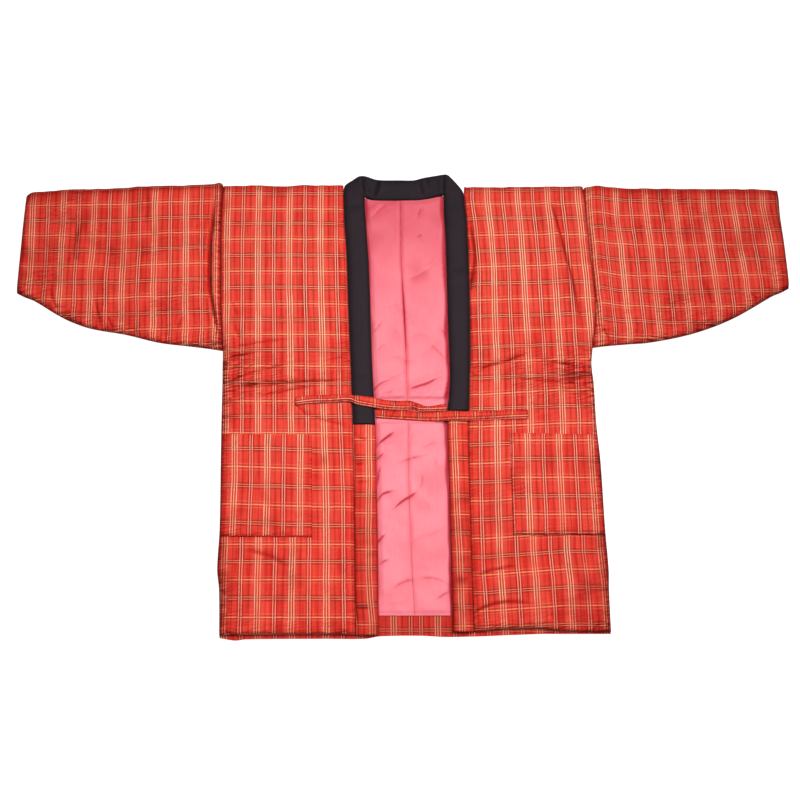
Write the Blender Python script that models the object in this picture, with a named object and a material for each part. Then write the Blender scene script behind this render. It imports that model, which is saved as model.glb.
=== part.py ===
"""Hanten, a padded short jacket, laid flat and open with its fronts up.

Metres, +Z up. +X is the wearer's left, +Y runs from the hem to the neck, and the
origin lies on the floor in the middle of the garment's box. Every padded piece is
a wall of two cloths with wadding between them, thinned where it is sewn.
"""
import math
from typing import NamedTuple

import bmesh
import bpy

# Driving sizes of the garment
PAD = 0.010               # wadded cloth, lying loose
SEAM_PAD = 0.0030         # the same cloth at a sewn side or armhole
HEM_PAD = 0.0042          # the same cloth at a turned hem or front edge
BACK_SEAM_PAD = 0.0065    # the same cloth at the centre back seam
BAND_PAD = 0.0102         # wadded neck band and front bands
POCKET_PAD = 0.0034       # pocket cloth with its own lining
POCKET_EDGE_PAD = 0.0016
TIE_PAD = 0.0036          # tie, folded to four thicknesses
LINING_PAD = 0.001        # thin lining cloth
SEAM_GAP = 0.0003         # between two pieces that are sewn together
LAY_GAP = 0.0006          # between a piece and what it lies on
SLIT = 0.0016             # between the front and the back lying on each other
SEAM_ROUND = 0.016        # how far in from a seam the wadding takes to fill out
HEM_ROUND = 0.011
POCKET_ROUND = 0.006
HEM_LIFT = 0.4            # share of a hem's thinning that lifts its inner face
FOLD_LIFT = 0.7           # share of a ridge's height that lifts the inner face
FOLD_HOLD = 1.2           # how soon a fold fades in the thin cloth beside a seam
FOLD_STEPS = 5            # facets round the shoulder fold and the sleeve's top fold

BACK_TOP = PAD                    # inner face of the back, lying on the floor
FRONT_BASE = BACK_TOP + SLIT      # inner face of the front
FOLD_MIDDLE = BACK_TOP + SLIT / 2
LINING_BASE = BACK_TOP + SEAM_GAP
BAND_BASE = LINING_BASE + LINING_PAD + LAY_GAP

RIGHT = -1                # the wearer's right, at -X
LEFT = 1                  # the wearer's left, at +X
SIDE_NAMES = {RIGHT: "right", LEFT: "left"}
SHOULDER_FOLD_Y = {RIGHT: 0.3892, LEFT: 0.3865}
ARMHOLE_X = 0.3320
CUFF_X = 0.6975
LINING_HEM_Y = -0.3825
LINING_TUCK = 0.006       # how far the lining runs on under the fronts


class BodyRow(NamedTuple):
    """Where the body's long edges run at one height on the table."""
    y: float
    right_side: float
    right_front: float
    centre_back: float
    left_front: float
    left_side: float


class HemRow(NamedTuple):
    """Front and back hem along the width."""
    x: float
    front_y: float
    back_y: float


class NeckRow(NamedTuple):
    """The neckline cut into the back."""
    x: float
    y: float


class SleeveRow(NamedTuple):
    """Top fold and bottom seam of a sleeve, from the armhole to the cuff."""
    x: float
    top: float
    bottom: float


class BandRow(NamedTuple):
    """The free inner edges of the two front bands."""
    y: float
    right_inner: float
    left_inner: float


class StripRow(NamedTuple):
    """One section of a band: its two edges, and its share of the height of a front band."""
    outer_x: float
    outer_y: float
    inner_x: float
    inner_y: float
    lift: float


class TieRow(NamedTuple):
    """One section of a tie, and how far it has climbed from the lining onto a band."""
    x: float
    y: float
    width: float
    climb: float


class ProfilePoint(NamedTuple):
    """A point of a strip's section, as shares of its width and thickness."""
    across: float
    rise: float


class PocketShape(NamedTuple):
    """Corners of a pocket: inner edge, then the side seam's edge."""
    inner_top: tuple
    inner_bottom: tuple
    side_top: float
    side_bottom: float


class Fold(NamedTuple):
    """A soft ridge or crease that runs from one point to another."""
    x0: float
    y0: float
    x1: float
    y1: float
    width: float
    height: float


BODY_ROWS = (
    BodyRow(0.400, -0.3305, -0.1105, -0.0055, 0.1120, 0.3315),
    BodyRow(0.348, -0.3335, -0.1090, -0.0050, 0.1155, 0.3360),
    BodyRow(0.258, -0.3315, -0.1025, -0.0040, 0.1190, 0.3415),
    BodyRow(0.160, -0.3275, -0.0985, 0.0015, 0.1200, 0.3465),
    BodyRow(0.082, -0.3215, -0.0945, 0.0050, 0.1195, 0.3375),
    BodyRow(0.056, -0.3210, -0.0930, 0.0055, 0.1188, 0.3350),
    BodyRow(0.022, -0.3200, -0.0915, 0.0065, 0.1175, 0.3375),
    BodyRow(-0.050, -0.3190, -0.0885, 0.0085, 0.1148, 0.3390),
    BodyRow(-0.118, -0.3175, -0.0865, 0.0085, 0.1142, 0.3435),
    BodyRow(-0.236, -0.3150, -0.0835, 0.0120, 0.1155, 0.3465),
    BodyRow(-0.305, -0.3165, -0.0820, 0.0150, 0.1165, 0.3495),
    BodyRow(-0.340, -0.3120, -0.0815, 0.0170, 0.1170, 0.3485),
    BodyRow(-0.424, -0.3085, -0.0795, 0.0220, 0.1185, 0.3490),
)

HEM_ROWS = (
    HemRow(-0.3085, -0.4155, -0.4195),
    HemRow(-0.2820, -0.4145, -0.4235),
    HemRow(-0.2650, -0.4145, -0.4215),
    HemRow(-0.1300, -0.4135, -0.4205),
    HemRow(-0.0640, -0.4150, -0.4205),
    HemRow(-0.0400, -0.4150, -0.4165),
    HemRow(0.0300, -0.4120, -0.4155),
    HemRow(0.0700, -0.4095, -0.4175),
    HemRow(0.1300, -0.4085, -0.4165),
    HemRow(0.1650, -0.4045, -0.4150),
    HemRow(0.2360, -0.4035, -0.4125),
    HemRow(0.2550, -0.4065, -0.4125),
    HemRow(0.3490, -0.4095, -0.4125),
)

NECKLINE = (
    NeckRow(-0.1110, 0.3835),
    NeckRow(-0.0705, 0.3755),
    NeckRow(-0.0545, 0.3712),
    NeckRow(0.0225, 0.3712),
    NeckRow(0.0405, 0.3730),
    NeckRow(0.0555, 0.3760),
    NeckRow(0.0755, 0.3800),
    NeckRow(0.1130, 0.3830),
)

SLEEVE_ROWS = {
    RIGHT: (
        SleeveRow(-0.3310, 0.3985, 0.0815),
        SleeveRow(-0.3495, 0.4025, 0.0850),
        SleeveRow(-0.3860, 0.4010, 0.0900),
        SleeveRow(-0.4435, 0.3975, 0.0975),
        SleeveRow(-0.5005, 0.3955, 0.1120),
        SleeveRow(-0.5625, 0.3930, 0.1235),
        SleeveRow(-0.5975, 0.3920, 0.1360),
        SleeveRow(-0.6235, 0.3910, 0.1495),
        SleeveRow(-0.6655, 0.3885, 0.1755),
        SleeveRow(-0.6850, 0.3870, 0.1835),
        SleeveRow(-0.6975, 0.3830, 0.1900),
    ),
    LEFT: (
        SleeveRow(0.3320, 0.3925, 0.0875),
        SleeveRow(0.3515, 0.3960, 0.0905),
        SleeveRow(0.3965, 0.3955, 0.0945),
        SleeveRow(0.4345, 0.3950, 0.0975),
        SleeveRow(0.5005, 0.3940, 0.1105),
        SleeveRow(0.5515, 0.3932, 0.1265),
        SleeveRow(0.5935, 0.3925, 0.1445),
        SleeveRow(0.6285, 0.3920, 0.1635),
        SleeveRow(0.6655, 0.3915, 0.1845),
        SleeveRow(0.6850, 0.3910, 0.1925),
        SleeveRow(0.6975, 0.3880, 0.1990),
    ),
}
# The cuffs lean: how far the cuff's lower end stands out past its top end
CUFF_LEAN = {RIGHT: 0.003, LEFT: 0.009}

BAND_ROWS = (
    BandRow(0.3450, -0.0690, 0.0750),
    BandRow(0.3080, -0.0665, 0.0770),
    BandRow(0.2450, -0.0620, 0.0785),
    BandRow(0.1580, -0.0585, 0.0800),
    BandRow(0.0870, -0.0560, 0.0815),
    BandRow(0.0220, -0.0530, 0.0825),
    BandRow(-0.0300, -0.0500, 0.0775),
    BandRow(-0.0560, -0.0485, 0.0775),
    BandRow(-0.1200, -0.0470, 0.0787),
    BandRow(-0.2400, -0.0440, 0.0805),
    BandRow(-0.3700, -0.0420, 0.0820),
    BandRow(-0.4150, -0.0415, 0.0825),
)

# The neck band where it turns the corners and crosses the back neck, right to left
NECK_TURN = (
    StripRow(-0.1090, 0.3620, -0.0695, 0.3500, 1.0),
    StripRow(-0.1092, 0.3850, -0.0702, 0.3670, 1.0),
    StripRow(-0.1045, 0.4005, -0.0700, 0.3772, 0.95),
    StripRow(-0.0925, 0.4095, -0.0690, 0.3775, 0.78),
    StripRow(-0.0795, 0.4185, -0.0660, 0.3768, 0.60),
    StripRow(-0.0690, 0.4185, -0.0620, 0.3756, 0.40),
    StripRow(-0.0535, 0.4105, -0.0535, 0.3724, 0.16),
    StripRow(-0.0340, 0.4085, -0.0340, 0.3723, 0.0),
    StripRow(-0.0050, 0.4085, -0.0050, 0.3723, 0.0),
    StripRow(0.0240, 0.4080, 0.0225, 0.3724, 0.0),
    StripRow(0.0400, 0.4130, 0.0405, 0.3744, 0.16),
    StripRow(0.0660, 0.4185, 0.0555, 0.3782, 0.42),
    StripRow(0.0790, 0.4235, 0.0650, 0.3806, 0.60),
    StripRow(0.0850, 0.4200, 0.0705, 0.3816, 0.78),
    StripRow(0.1050, 0.3960, 0.0745, 0.3822, 0.95),
    StripRow(0.1112, 0.3845, 0.0750, 0.3700, 1.0),
    StripRow(0.1136, 0.3620, 0.0750, 0.3500, 1.0),
)
COLLAR_END_Y = {RIGHT: -0.0535, LEFT: -0.0295}
BAND_END_Y = {RIGHT: -0.4150, LEFT: -0.4095}

# Each tie is sewn to its own front band and lies over the other one
TIES = {
    LEFT: (
        TieRow(0.0769, -0.0225, 0.0130, 0.22),
        TieRow(0.0620, -0.0225, 0.0125, 0.08),
        TieRow(0.0400, -0.0205, 0.0140, 0.0),
        TieRow(0.0100, -0.0170, 0.0170, 0.0),
        TieRow(-0.0200, -0.0150, 0.0180, 0.02),
        TieRow(-0.0350, -0.0140, 0.0200, 0.28),
        TieRow(-0.0455, -0.0135, 0.0210, 0.72),
        TieRow(-0.0560, -0.0120, 0.0200, 1.0),
        TieRow(-0.0720, -0.0095, 0.0170, 1.02),
        TieRow(-0.0900, -0.0065, 0.0140, 1.01),
        TieRow(-0.1100, -0.0070, 0.0140, 0.98),
        TieRow(-0.1400, -0.0080, 0.0150, 0.96),
        TieRow(-0.1890, -0.0110, 0.0180, 0.96),
    ),
    RIGHT: (
        TieRow(-0.0480, -0.0370, 0.0130, 0.22),
        TieRow(-0.0330, -0.0375, 0.0140, 0.06),
        TieRow(0.0000, -0.0385, 0.0150, 0.0),
        TieRow(0.0350, -0.0395, 0.0150, 0.0),
        TieRow(0.0550, -0.0400, 0.0155, 0.10),
        TieRow(0.0660, -0.0402, 0.0160, 0.42),
        TieRow(0.0760, -0.0402, 0.0165, 0.80),
        TieRow(0.0860, -0.0400, 0.0170, 1.0),
        TieRow(0.1000, -0.0396, 0.0170, 1.02),
        TieRow(0.1160, -0.0390, 0.0175, 1.01),
        TieRow(0.1350, -0.0382, 0.0180, 0.98),
        TieRow(0.1750, -0.0374, 0.0190, 0.96),
        TieRow(0.2185, -0.0385, 0.0210, 0.96),
    ),
}

BAND_PROFILE = (
    ProfilePoint(0.00, 0.14), ProfilePoint(0.00, 0.42), ProfilePoint(0.07, 0.78),
    ProfilePoint(0.24, 0.97), ProfilePoint(0.50, 1.00), ProfilePoint(0.76, 0.97),
    ProfilePoint(0.93, 0.78), ProfilePoint(1.00, 0.42), ProfilePoint(1.00, 0.14),
    ProfilePoint(0.90, 0.00), ProfilePoint(0.10, 0.00),
)
TIE_PROFILE = (
    ProfilePoint(-0.50, 0.30), ProfilePoint(-0.44, 0.88), ProfilePoint(0.00, 1.00),
    ProfilePoint(0.44, 0.88), ProfilePoint(0.50, 0.30), ProfilePoint(0.46, 0.00),
    ProfilePoint(-0.46, 0.00),
)

POCKETS = {
    RIGHT: PocketShape((-0.1590, -0.0715), (-0.1555, -0.2515), -0.0715, -0.2500),
    LEFT: PocketShape((0.1855, -0.0690), (0.1880, -0.2485), -0.0730, -0.2475),
}

FRONT_FOLDS = (
    Fold(0.2640, 0.3650, 0.3030, 0.1300, 0.016, 0.0036),
    Fold(0.2860, 0.3650, 0.3240, 0.1300, 0.012, -0.0030),
    Fold(0.1310, 0.3400, 0.1290, 0.1700, 0.012, -0.0026),
    Fold(0.1200, 0.0330, 0.2100, 0.0720, 0.014, -0.0026),
    Fold(0.1300, 0.0700, 0.2400, 0.1100, 0.018, 0.0026),
    Fold(0.3300, 0.0200, 0.2700, 0.0300, 0.012, -0.0024),
    Fold(0.0900, -0.3950, 0.1900, -0.3650, 0.013, -0.0024),
    Fold(0.1200, -0.3150, 0.1900, -0.3050, 0.014, -0.0022),
    Fold(-0.3200, 0.0720, -0.2800, 0.0820, 0.010, -0.0024),
    Fold(-0.3200, 0.0420, -0.2250, 0.0600, 0.012, -0.0026),
    Fold(-0.3150, 0.0560, -0.2300, 0.0700, 0.010, 0.0020),
    Fold(-0.3140, 0.0150, -0.1100, 0.0265, 0.013, -0.0026),
    Fold(-0.3050, 0.0320, -0.1800, 0.0430, 0.014, 0.0022),
    Fold(-0.1750, -0.0300, -0.1250, -0.0420, 0.014, -0.0024),
)
SLEEVE_FOLDS = (
    Fold(-0.3500, 0.3950, -0.3480, 0.0950, 0.009, -0.0034),
    Fold(-0.3390, 0.3900, -0.3360, 0.0950, 0.009, 0.0040),
    Fold(0.3560, 0.3800, 0.3640, 0.1100, 0.014, 0.0024),
    Fold(-0.4500, 0.3600, -0.4700, 0.1400, 0.030, 0.0016),
    Fold(0.4700, 0.3300, 0.4300, 0.1400, 0.030, 0.0016),
)

EDGE_STEPS = (0.0, 0.0015, 0.0060, 0.0140)
HEM_STEPS = (0.0, 0.0030, 0.0100)
SIDE_COLUMNS = 6
COLLAR_COLUMNS = 4
FRONT_ROWS = 24
LOWER_BACK_ROWS = 4
SLEEVE_COLUMNS = 7
ARMPIT_Y = 0.0450
SEAM_TAKE = 0.0020        # how far in from its edge the sleeve's bottom seam closes it


def clear_scene():
    """Remove whatever the scene holds."""
    for thing in list(bpy.data.objects):
        bpy.data.objects.remove(thing, do_unlink=True)


def between(rows, key, value, at):
    """Read a table column at a place between its rows, on a smooth curve."""
    ordered = sorted(rows, key=lambda row: getattr(row, key))
    places = [getattr(row, key) for row in ordered]
    values = [getattr(row, value) for row in ordered]
    if at <= places[0]:
        return values[0]
    if at >= places[-1]:
        return values[-1]
    k = next(i for i in range(len(places) - 1) if at <= places[i + 1])

    def slope(i):
        low, high = max(i - 1, 0), min(i + 1, len(places) - 1)
        return (values[high] - values[low]) / (places[high] - places[low])

    run = places[k + 1] - places[k]
    t = (at - places[k]) / run
    return (values[k] * (1 + 2 * t) * (1 - t) ** 2 + slope(k) * run * t * (1 - t) ** 2
            + values[k + 1] * t * t * (3 - 2 * t) - slope(k + 1) * run * t * t * (1 - t))


def fullness(distance, reach, edge, full):
    """Share of the full wadding at a distance from an edge, on a round shoulder."""
    t = min(max(distance / reach, 0.0), 1.0)
    return edge / full + (1 - edge / full) * math.sqrt(1 - (1 - t) ** 2)


def relief(folds, x, y):
    """Height that the folds add at a place."""
    total = 0.0
    for fold in folds:
        run_x, run_y = fold.x1 - fold.x0, fold.y1 - fold.y0
        length = math.hypot(run_x, run_y)
        along = ((x - fold.x0) * run_x + (y - fold.y0) * run_y) / length
        across = ((x - fold.x0) * run_y - (y - fold.y0) * run_x) / length
        past = max(-along, along - length, 0.0)
        total += fold.height * math.exp(-((across / fold.width) ** 2) - (past / fold.width) ** 2)
    return total


def side_edge(side, y):
    """The side seam, and the armhole seam above it up to the shoulder fold."""
    level = min(y, SHOULDER_FOLD_Y[side])
    return between(BODY_ROWS, "y", SIDE_NAMES[side] + "_side", level)


def front_edge(side, y):
    """The front's long edge, where the bands are sewn on."""
    return between(BODY_ROWS, "y", SIDE_NAMES[side] + "_front", y)


def centre_back(y):
    """The centre back seam."""
    return between(BODY_ROWS, "y", "centre_back", y)


def front_hem(x):
    """The front hem's edge."""
    return between(HEM_ROWS, "x", "front_y", x)


def back_hem(x):
    """The back hem's edge."""
    return between(HEM_ROWS, "x", "back_y", x)


def neckline(x):
    """The neckline's edge in the back."""
    return between(NECKLINE, "x", "y", x)


def front_row_y(side, x, j):
    """Where row j of the front's net lies, from the hem to the shoulder fold."""
    if j < len(HEM_STEPS):
        return front_hem(x) + HEM_STEPS[j]
    low = front_hem(x) + HEM_STEPS[-1]
    share = (j + 1 - len(HEM_STEPS)) / FRONT_ROWS
    return low + (SHOULDER_FOLD_Y[side] - low) * share


def sewn_side(side, y):
    """The armhole seam as the body's net has it, straight between two rows."""
    seam = side_edge(side, 0.0)
    rows = [front_row_y(side, seam, j) for j in range(len(HEM_STEPS) + FRONT_ROWS)]
    k = max(i for i, row in enumerate(rows[:-1]) if row <= y)
    share = min((y - rows[k]) / (rows[k + 1] - rows[k]), 1.0)
    return side_edge(side, rows[k]) * (1 - share) + side_edge(side, rows[k + 1]) * share


def upper_rows(side):
    """Rows of the front's net above the armpit, from the shoulder fold down."""
    rows = range(len(HEM_STEPS) + FRONT_ROWS - 2, 0, -1)
    return [j for j in rows if front_row_y(side, side_edge(side, 0.2), j) > ARMPIT_Y]


def back_row_y(side, x, j):
    """Where row j of the back's net lies, from the shoulder fold to the hem."""
    upper = upper_rows(side)
    if j == 0:
        return neckline(x) if abs(x) < abs(front_edge(side, 0.38)) - 0.001 else \
            SHOULDER_FOLD_Y[side]
    if j <= len(upper):
        return front_row_y(side, x, upper[j - 1])
    top = front_row_y(side, x, upper[-1])
    low = back_hem(x) + HEM_STEPS[-1]
    step = j - len(upper)
    if step <= LOWER_BACK_ROWS:
        return top + (low - top) * step / LOWER_BACK_ROWS
    return back_hem(x) + HEM_STEPS[len(HEM_STEPS) - 1 - (step - LOWER_BACK_ROWS)]


def band_sections(side, low_y, high_y):
    """Sections of a front band between two heights, level with the front's rows."""
    seam = front_edge(side, 0.0)
    rows = [front_row_y(side, seam, j) for j in range(len(HEM_STEPS) + FRONT_ROWS)]
    heights = [low_y] + [y for y in rows if low_y + 0.002 < y < high_y - 0.002] + [high_y]
    inner = SIDE_NAMES[side] + "_inner"
    return [StripRow(front_edge(side, y) - side * SEAM_GAP / 2, y,
                     between(BAND_ROWS, "y", inner, y), y, 1.0) for y in heights]


def front_fill(side, x, y):
    """Share of the full wadding in the front, thinner at its seams and hem."""
    share = fullness(abs(side_edge(side, y) - x), SEAM_ROUND, SEAM_PAD, PAD)
    share *= fullness(abs(front_edge(side, y) - x), SEAM_ROUND, HEM_PAD, PAD)
    return share * fullness(y - front_hem(x), HEM_ROUND, HEM_PAD, PAD)


def hem_lift(distance):
    """How far a turned hem lifts the inner face of its cloth."""
    return HEM_LIFT * PAD * (1 - fullness(distance, HEM_ROUND, HEM_PAD, PAD))


def front_lift(x, y):
    """How far a fold and the turned hem lift the inner face of the front."""
    fold = FOLD_LIFT * max(relief(FRONT_FOLDS, x, y), 0.0)
    return fold + hem_lift(y - front_hem(x))


def front_top(side, x, y):
    """Height of the upper face of the front."""
    fill = front_fill(side, x, y)
    fold = relief(FRONT_FOLDS, x, y)
    held = min(fill * FOLD_HOLD, 1.0)
    return FRONT_BASE + PAD * fill + fold * held + hem_lift(y - front_hem(x))


def back_fill(side, x, y):
    """Share of the full wadding in the back, thinner at its seams and hem."""
    share = fullness(abs(side_edge(side, y) - x), SEAM_ROUND, SEAM_PAD, PAD)
    share *= fullness(abs(centre_back(y) - x), HEM_ROUND, BACK_SEAM_PAD, PAD)
    return share * fullness(y - back_hem(x), HEM_ROUND, HEM_PAD, PAD)


def spread(start, end, near, far, count):
    """Places from one edge to another, close together near either edge."""
    run = end - start
    way = 1 if run > 0 else -1
    first = [start + way * step for step in near]
    last = [end - way * step for step in reversed(far)]
    inner = [first[-1] + (last[0] - first[-1]) * k / count for k in range(1, count)]
    return first + inner + last


def paint(name, colour, roughness):
    """Make a cloth material."""
    material = bpy.data.materials.new(name)
    material.use_nodes = True
    shader = material.node_tree.nodes["Principled BSDF"]
    shader.inputs["Base Color"].default_value = (*colour, 1.0)
    shader.inputs["Roughness"].default_value = roughness
    shader.inputs["Metallic"].default_value = 0.0
    return material


def add_object(name, mesh_data, material):
    """Turn a bmesh into a smooth object of the scene."""
    bmesh.ops.recalc_face_normals(mesh_data, faces=mesh_data.faces)
    mesh = bpy.data.meshes.new(name)
    mesh_data.to_mesh(mesh)
    mesh_data.free()
    mesh.materials.append(material)
    mesh.shade_smooth()
    mesh.set_sharp_from_angle(angle=math.radians(50))
    thing = bpy.data.objects.new(name, mesh)
    bpy.context.collection.objects.link(thing)
    return thing


def pad_object(name, cells, outer, inner, material):
    """Build a wall from a net of cells, with one face on either side of it.

    cells are rings of four keys, and outer and inner give each key's two points.
    The wall is closed along every edge that only one cell has.
    """
    bm = bmesh.new()
    top = {key: bm.verts.new(point) for key, point in outer.items()}
    low = {key: bm.verts.new(point) for key, point in inner.items()}
    edges = set()
    for ring in cells:
        bm.faces.new([top[key] for key in ring])
        bm.faces.new([low[key] for key in reversed(ring)])
        edges.update(zip(ring, ring[1:] + ring[:1]))
    for start, end in edges:
        if (end, start) not in edges:
            bm.faces.new([top[end], top[start], low[start], low[end]])
    return add_object(name, bm, material)


def grid_cells(columns, rows):
    """The cells of a plain net, as rings of (column, row) keys."""
    return [((i, j), (i + 1, j), (i + 1, j + 1), (i, j + 1))
            for i in range(columns - 1) for j in range(rows - 1)]


def body_half(side, material):
    """One length of the body: up the front, over the shoulder and down the back."""
    fold_y = SHOULDER_FOLD_Y[side]
    spots = []
    rows = len(HEM_STEPS) + FRONT_ROWS
    for j in range(rows):
        spots.append(("front", j))
    for j in range(1, FOLD_STEPS):
        spots.append(("fold", math.pi / 2 - math.pi * j / FOLD_STEPS))
    back_rows = len(upper_rows(side)) + LOWER_BACK_ROWS + len(HEM_STEPS)
    for j in range(back_rows):
        spots.append(("back", j))

    outer, inner = {}, {}
    front_columns = len(spread(0.0, 1.0, EDGE_STEPS, EDGE_STEPS, SIDE_COLUMNS))

    def place(i, j, x, y, z, normal_y, normal_z, depth):
        inner[(i, j)] = (x, y, z)
        outer[(i, j)] = (x, y + normal_y * depth, z + normal_z * depth)

    def columns_at(y_at, back):
        """Places across one row, each edge read at the height where the row meets it."""
        side_y, front_y = y_at(side_edge(side, 0.0)), y_at(front_edge(side, 0.0))
        way = -side if back else side
        seam = front_edge(side, front_y) + way * SEAM_GAP / 2
        columns = spread(side_edge(side, side_y) - side * SEAM_GAP / 2, seam,
                         EDGE_STEPS, EDGE_STEPS, SIDE_COLUMNS)
        if back:
            middle = centre_back(y_at(centre_back(0.0))) + side * SEAM_GAP / 2
            more = spread(seam, middle, (0.0,), HEM_STEPS, COLLAR_COLUMNS)
            columns += more[1:]
        return columns

    for j, (part, step) in enumerate(spots):
        if part == "front":
            for i, x in enumerate(columns_at(lambda x: front_row_y(side, x, step), False)):
                y = front_row_y(side, x, step)
                base = FRONT_BASE + front_lift(x, y)
                place(i, j, x, y, base, 0, 1, front_top(side, x, y) - base)
        elif part == "fold":
            for i, x in enumerate(columns_at(lambda x: fold_y, False)):
                depth = PAD * front_fill(side, x, fold_y)
                y = fold_y + SLIT / 2 * math.cos(step)
                z = FOLD_MIDDLE + SLIT / 2 * math.sin(step)
                place(i, j, x, y, z, math.cos(step), math.sin(step), depth)
        else:
            for i, x in enumerate(columns_at(lambda x: back_row_y(side, x, step), True)):
                y = back_row_y(side, x, step)
                fill = back_fill(side, x, y)
                if step == 0 and i < front_columns:
                    fill = front_fill(side, x, fold_y)
                place(i, j, x, y, BACK_TOP - hem_lift(y - back_hem(x)), 0, -1, PAD * fill)

    first_back = len(spots) - back_rows
    cells = []
    for ring in grid_cells(front_columns + COLLAR_COLUMNS + 2, len(spots)):
        (column, row) = ring[0]
        if column < front_columns - 1 or row >= first_back:
            cells.append(ring)
    return pad_object("body_" + SIDE_NAMES[side], cells, outer, inner, material)


def lining_half(side, material):
    """Half of the lining on the back, which shows between the front bands."""
    columns, rows = 5, 13
    top = neckline(centre_back(0.0))
    outer, inner = {}, {}
    for j in range(rows):
        t = j / (rows - 1)
        for i in range(columns):
            guess = LINING_HEM_Y + (top - LINING_HEM_Y) * t
            seam = centre_back(guess) + side * SEAM_GAP / 2
            edge = front_edge(side, guess) + side * LINING_TUCK
            x = edge + (seam - edge) * i / (columns - 1)
            y = LINING_HEM_Y + (neckline(x) - SEAM_GAP - LINING_HEM_Y) * t
            outer[(i, j)] = (x, y, LINING_BASE + LINING_PAD)
            inner[(i, j)] = (x, y, LINING_BASE)
    cells = grid_cells(columns, rows)
    return pad_object("lining_" + SIDE_NAMES[side], cells, outer, inner, material)


def sleeve(side, material):
    """A sleeve: a flattened tube, open at the cuff and at the armhole."""
    rows = SLEEVE_ROWS[side]
    stations = spread(ARMHOLE_X, CUFF_X, EDGE_STEPS, HEM_STEPS, SLEEVE_COLUMNS)
    foot = between(rows, "x", "bottom", side * ARMHOLE_X) + EDGE_STEPS[-1]
    head = between(rows, "x", "top", side * ARMHOLE_X) - SLIT / 2 - PAD
    levels = [front_row_y(side, side_edge(side, 0.2), j) for j in reversed(upper_rows(side))]
    shares = [(y - foot) / (head - foot) for y in levels if foot + 0.008 < y < head - 0.008]
    bm = bmesh.new()
    rings = []
    for reach in stations:
        top = between(rows, "x", "top", side * reach)
        bottom = between(rows, "x", "bottom", side * reach)
        fold_y = top - SLIT / 2 - PAD
        full = bottom + EDGE_STEPS[-1]
        lines = [bottom + step for step in EDGE_STEPS]
        lines += [full + (fold_y - full) * share for share in shares] + [fold_y]
        outer_ring, inner_ring = [], []

        def shift(y):
            """Lean of the armhole seam and of the cuff at this station."""
            share = (reach - ARMHOLE_X) / (CUFF_X - ARMHOLE_X)
            along = (top - y) / (top - bottom)
            seam = sewn_side(side, y) + side * SEAM_GAP / 2
            lean = side * CUFF_LEAN[side] * (math.sin(math.pi * min(along, 1.0) * 0.5) - 1)
            return (seam - side * ARMHOLE_X) * (1 - share) + lean * share

        def section(y, z, normal_y, normal_z):
            fill = fullness(reach - ARMHOLE_X, SEAM_ROUND, SEAM_PAD, PAD)
            fill *= fullness(CUFF_X - reach, HEM_ROUND, HEM_PAD, PAD)
            fill *= fullness(y - bottom, SEAM_ROUND, SEAM_PAD, PAD)
            lift = hem_lift(CUFF_X - reach)
            x = side * reach + shift(y)
            fold = relief(SLEEVE_FOLDS, x, y) * min(fill * FOLD_HOLD, 1.0) if normal_z == 1 else 0.0
            depth = PAD * fill + fold
            low_y = max(y, bottom + SEAM_TAKE) if normal_y == 0 else y
            inner_ring.append(bm.verts.new((x, low_y + normal_y * lift, z + normal_z * lift)))
            outer_ring.append(bm.verts.new((x, y + normal_y * (depth + lift),
                                            z + normal_z * (depth + lift))))

        for y in lines:
            section(y, FRONT_BASE, 0, 1)
        for j in range(1, FOLD_STEPS):
            angle = math.pi / 2 - math.pi * j / FOLD_STEPS
            section(fold_y + SLIT / 2 * math.cos(angle), FOLD_MIDDLE + SLIT / 2 * math.sin(angle),
                    math.cos(angle), math.sin(angle))
        for y in reversed(lines):
            section(y, BACK_TOP, 0, -1)
        rings.append((outer_ring, inner_ring))
    for (outer_a, inner_a), (outer_b, inner_b) in zip(rings, rings[1:]):
        count = len(outer_a)
        for k in range(count):
            n = (k + 1) % count
            bm.faces.new([outer_a[k], outer_a[n], outer_b[n], outer_b[k]])
            bm.faces.new([inner_a[k], inner_b[k], inner_b[n], inner_a[n]])
    for outer_ring, inner_ring in (rings[0], rings[-1]):
        count = len(outer_ring)
        for k in range(count):
            n = (k + 1) % count
            bm.faces.new([outer_ring[k], outer_ring[n], inner_ring[n], inner_ring[k]])
    return add_object("sleeve_" + SIDE_NAMES[side], bm, material)


def strip_object(name, sections, material):
    """Join a row of closed sections into one solid with flat ends."""
    bm = bmesh.new()
    rings = [[bm.verts.new(point) for point in section] for section in sections]
    for ring_a, ring_b in zip(rings, rings[1:]):
        for k in range(len(ring_a)):
            n = (k + 1) % len(ring_a)
            bm.faces.new([ring_a[k], ring_a[n], ring_b[n], ring_b[k]])
    bm.faces.new(rings[0])
    bm.faces.new(list(reversed(rings[-1])))
    return add_object(name, bm, material)


def band_object(name, rows, material):
    """A wadded band: flat below, crowned above and thin along both edges."""
    sections = []
    for row in rows:
        run_x, run_y = row.inner_x - row.outer_x, row.inner_y - row.outer_y
        sections.append([(row.outer_x + run_x * spot.across, row.outer_y + run_y * spot.across,
                          BAND_BASE * row.lift + BAND_PAD * spot.rise) for spot in BAND_PROFILE])
    return strip_object(name, sections, material)


def tie(side, material):
    """A folded cloth tie that lies across the opening and climbs onto the other band."""
    sections = []
    for row in TIES[side]:
        base = BAND_BASE + (BAND_PAD + LAY_GAP) * row.climb
        sections.append([(row.x, row.y + row.width * spot.across, base + TIE_PAD * spot.rise)
                         for spot in TIE_PROFILE])
    return strip_object("tie_" + SIDE_NAMES[side], sections, material)


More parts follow.
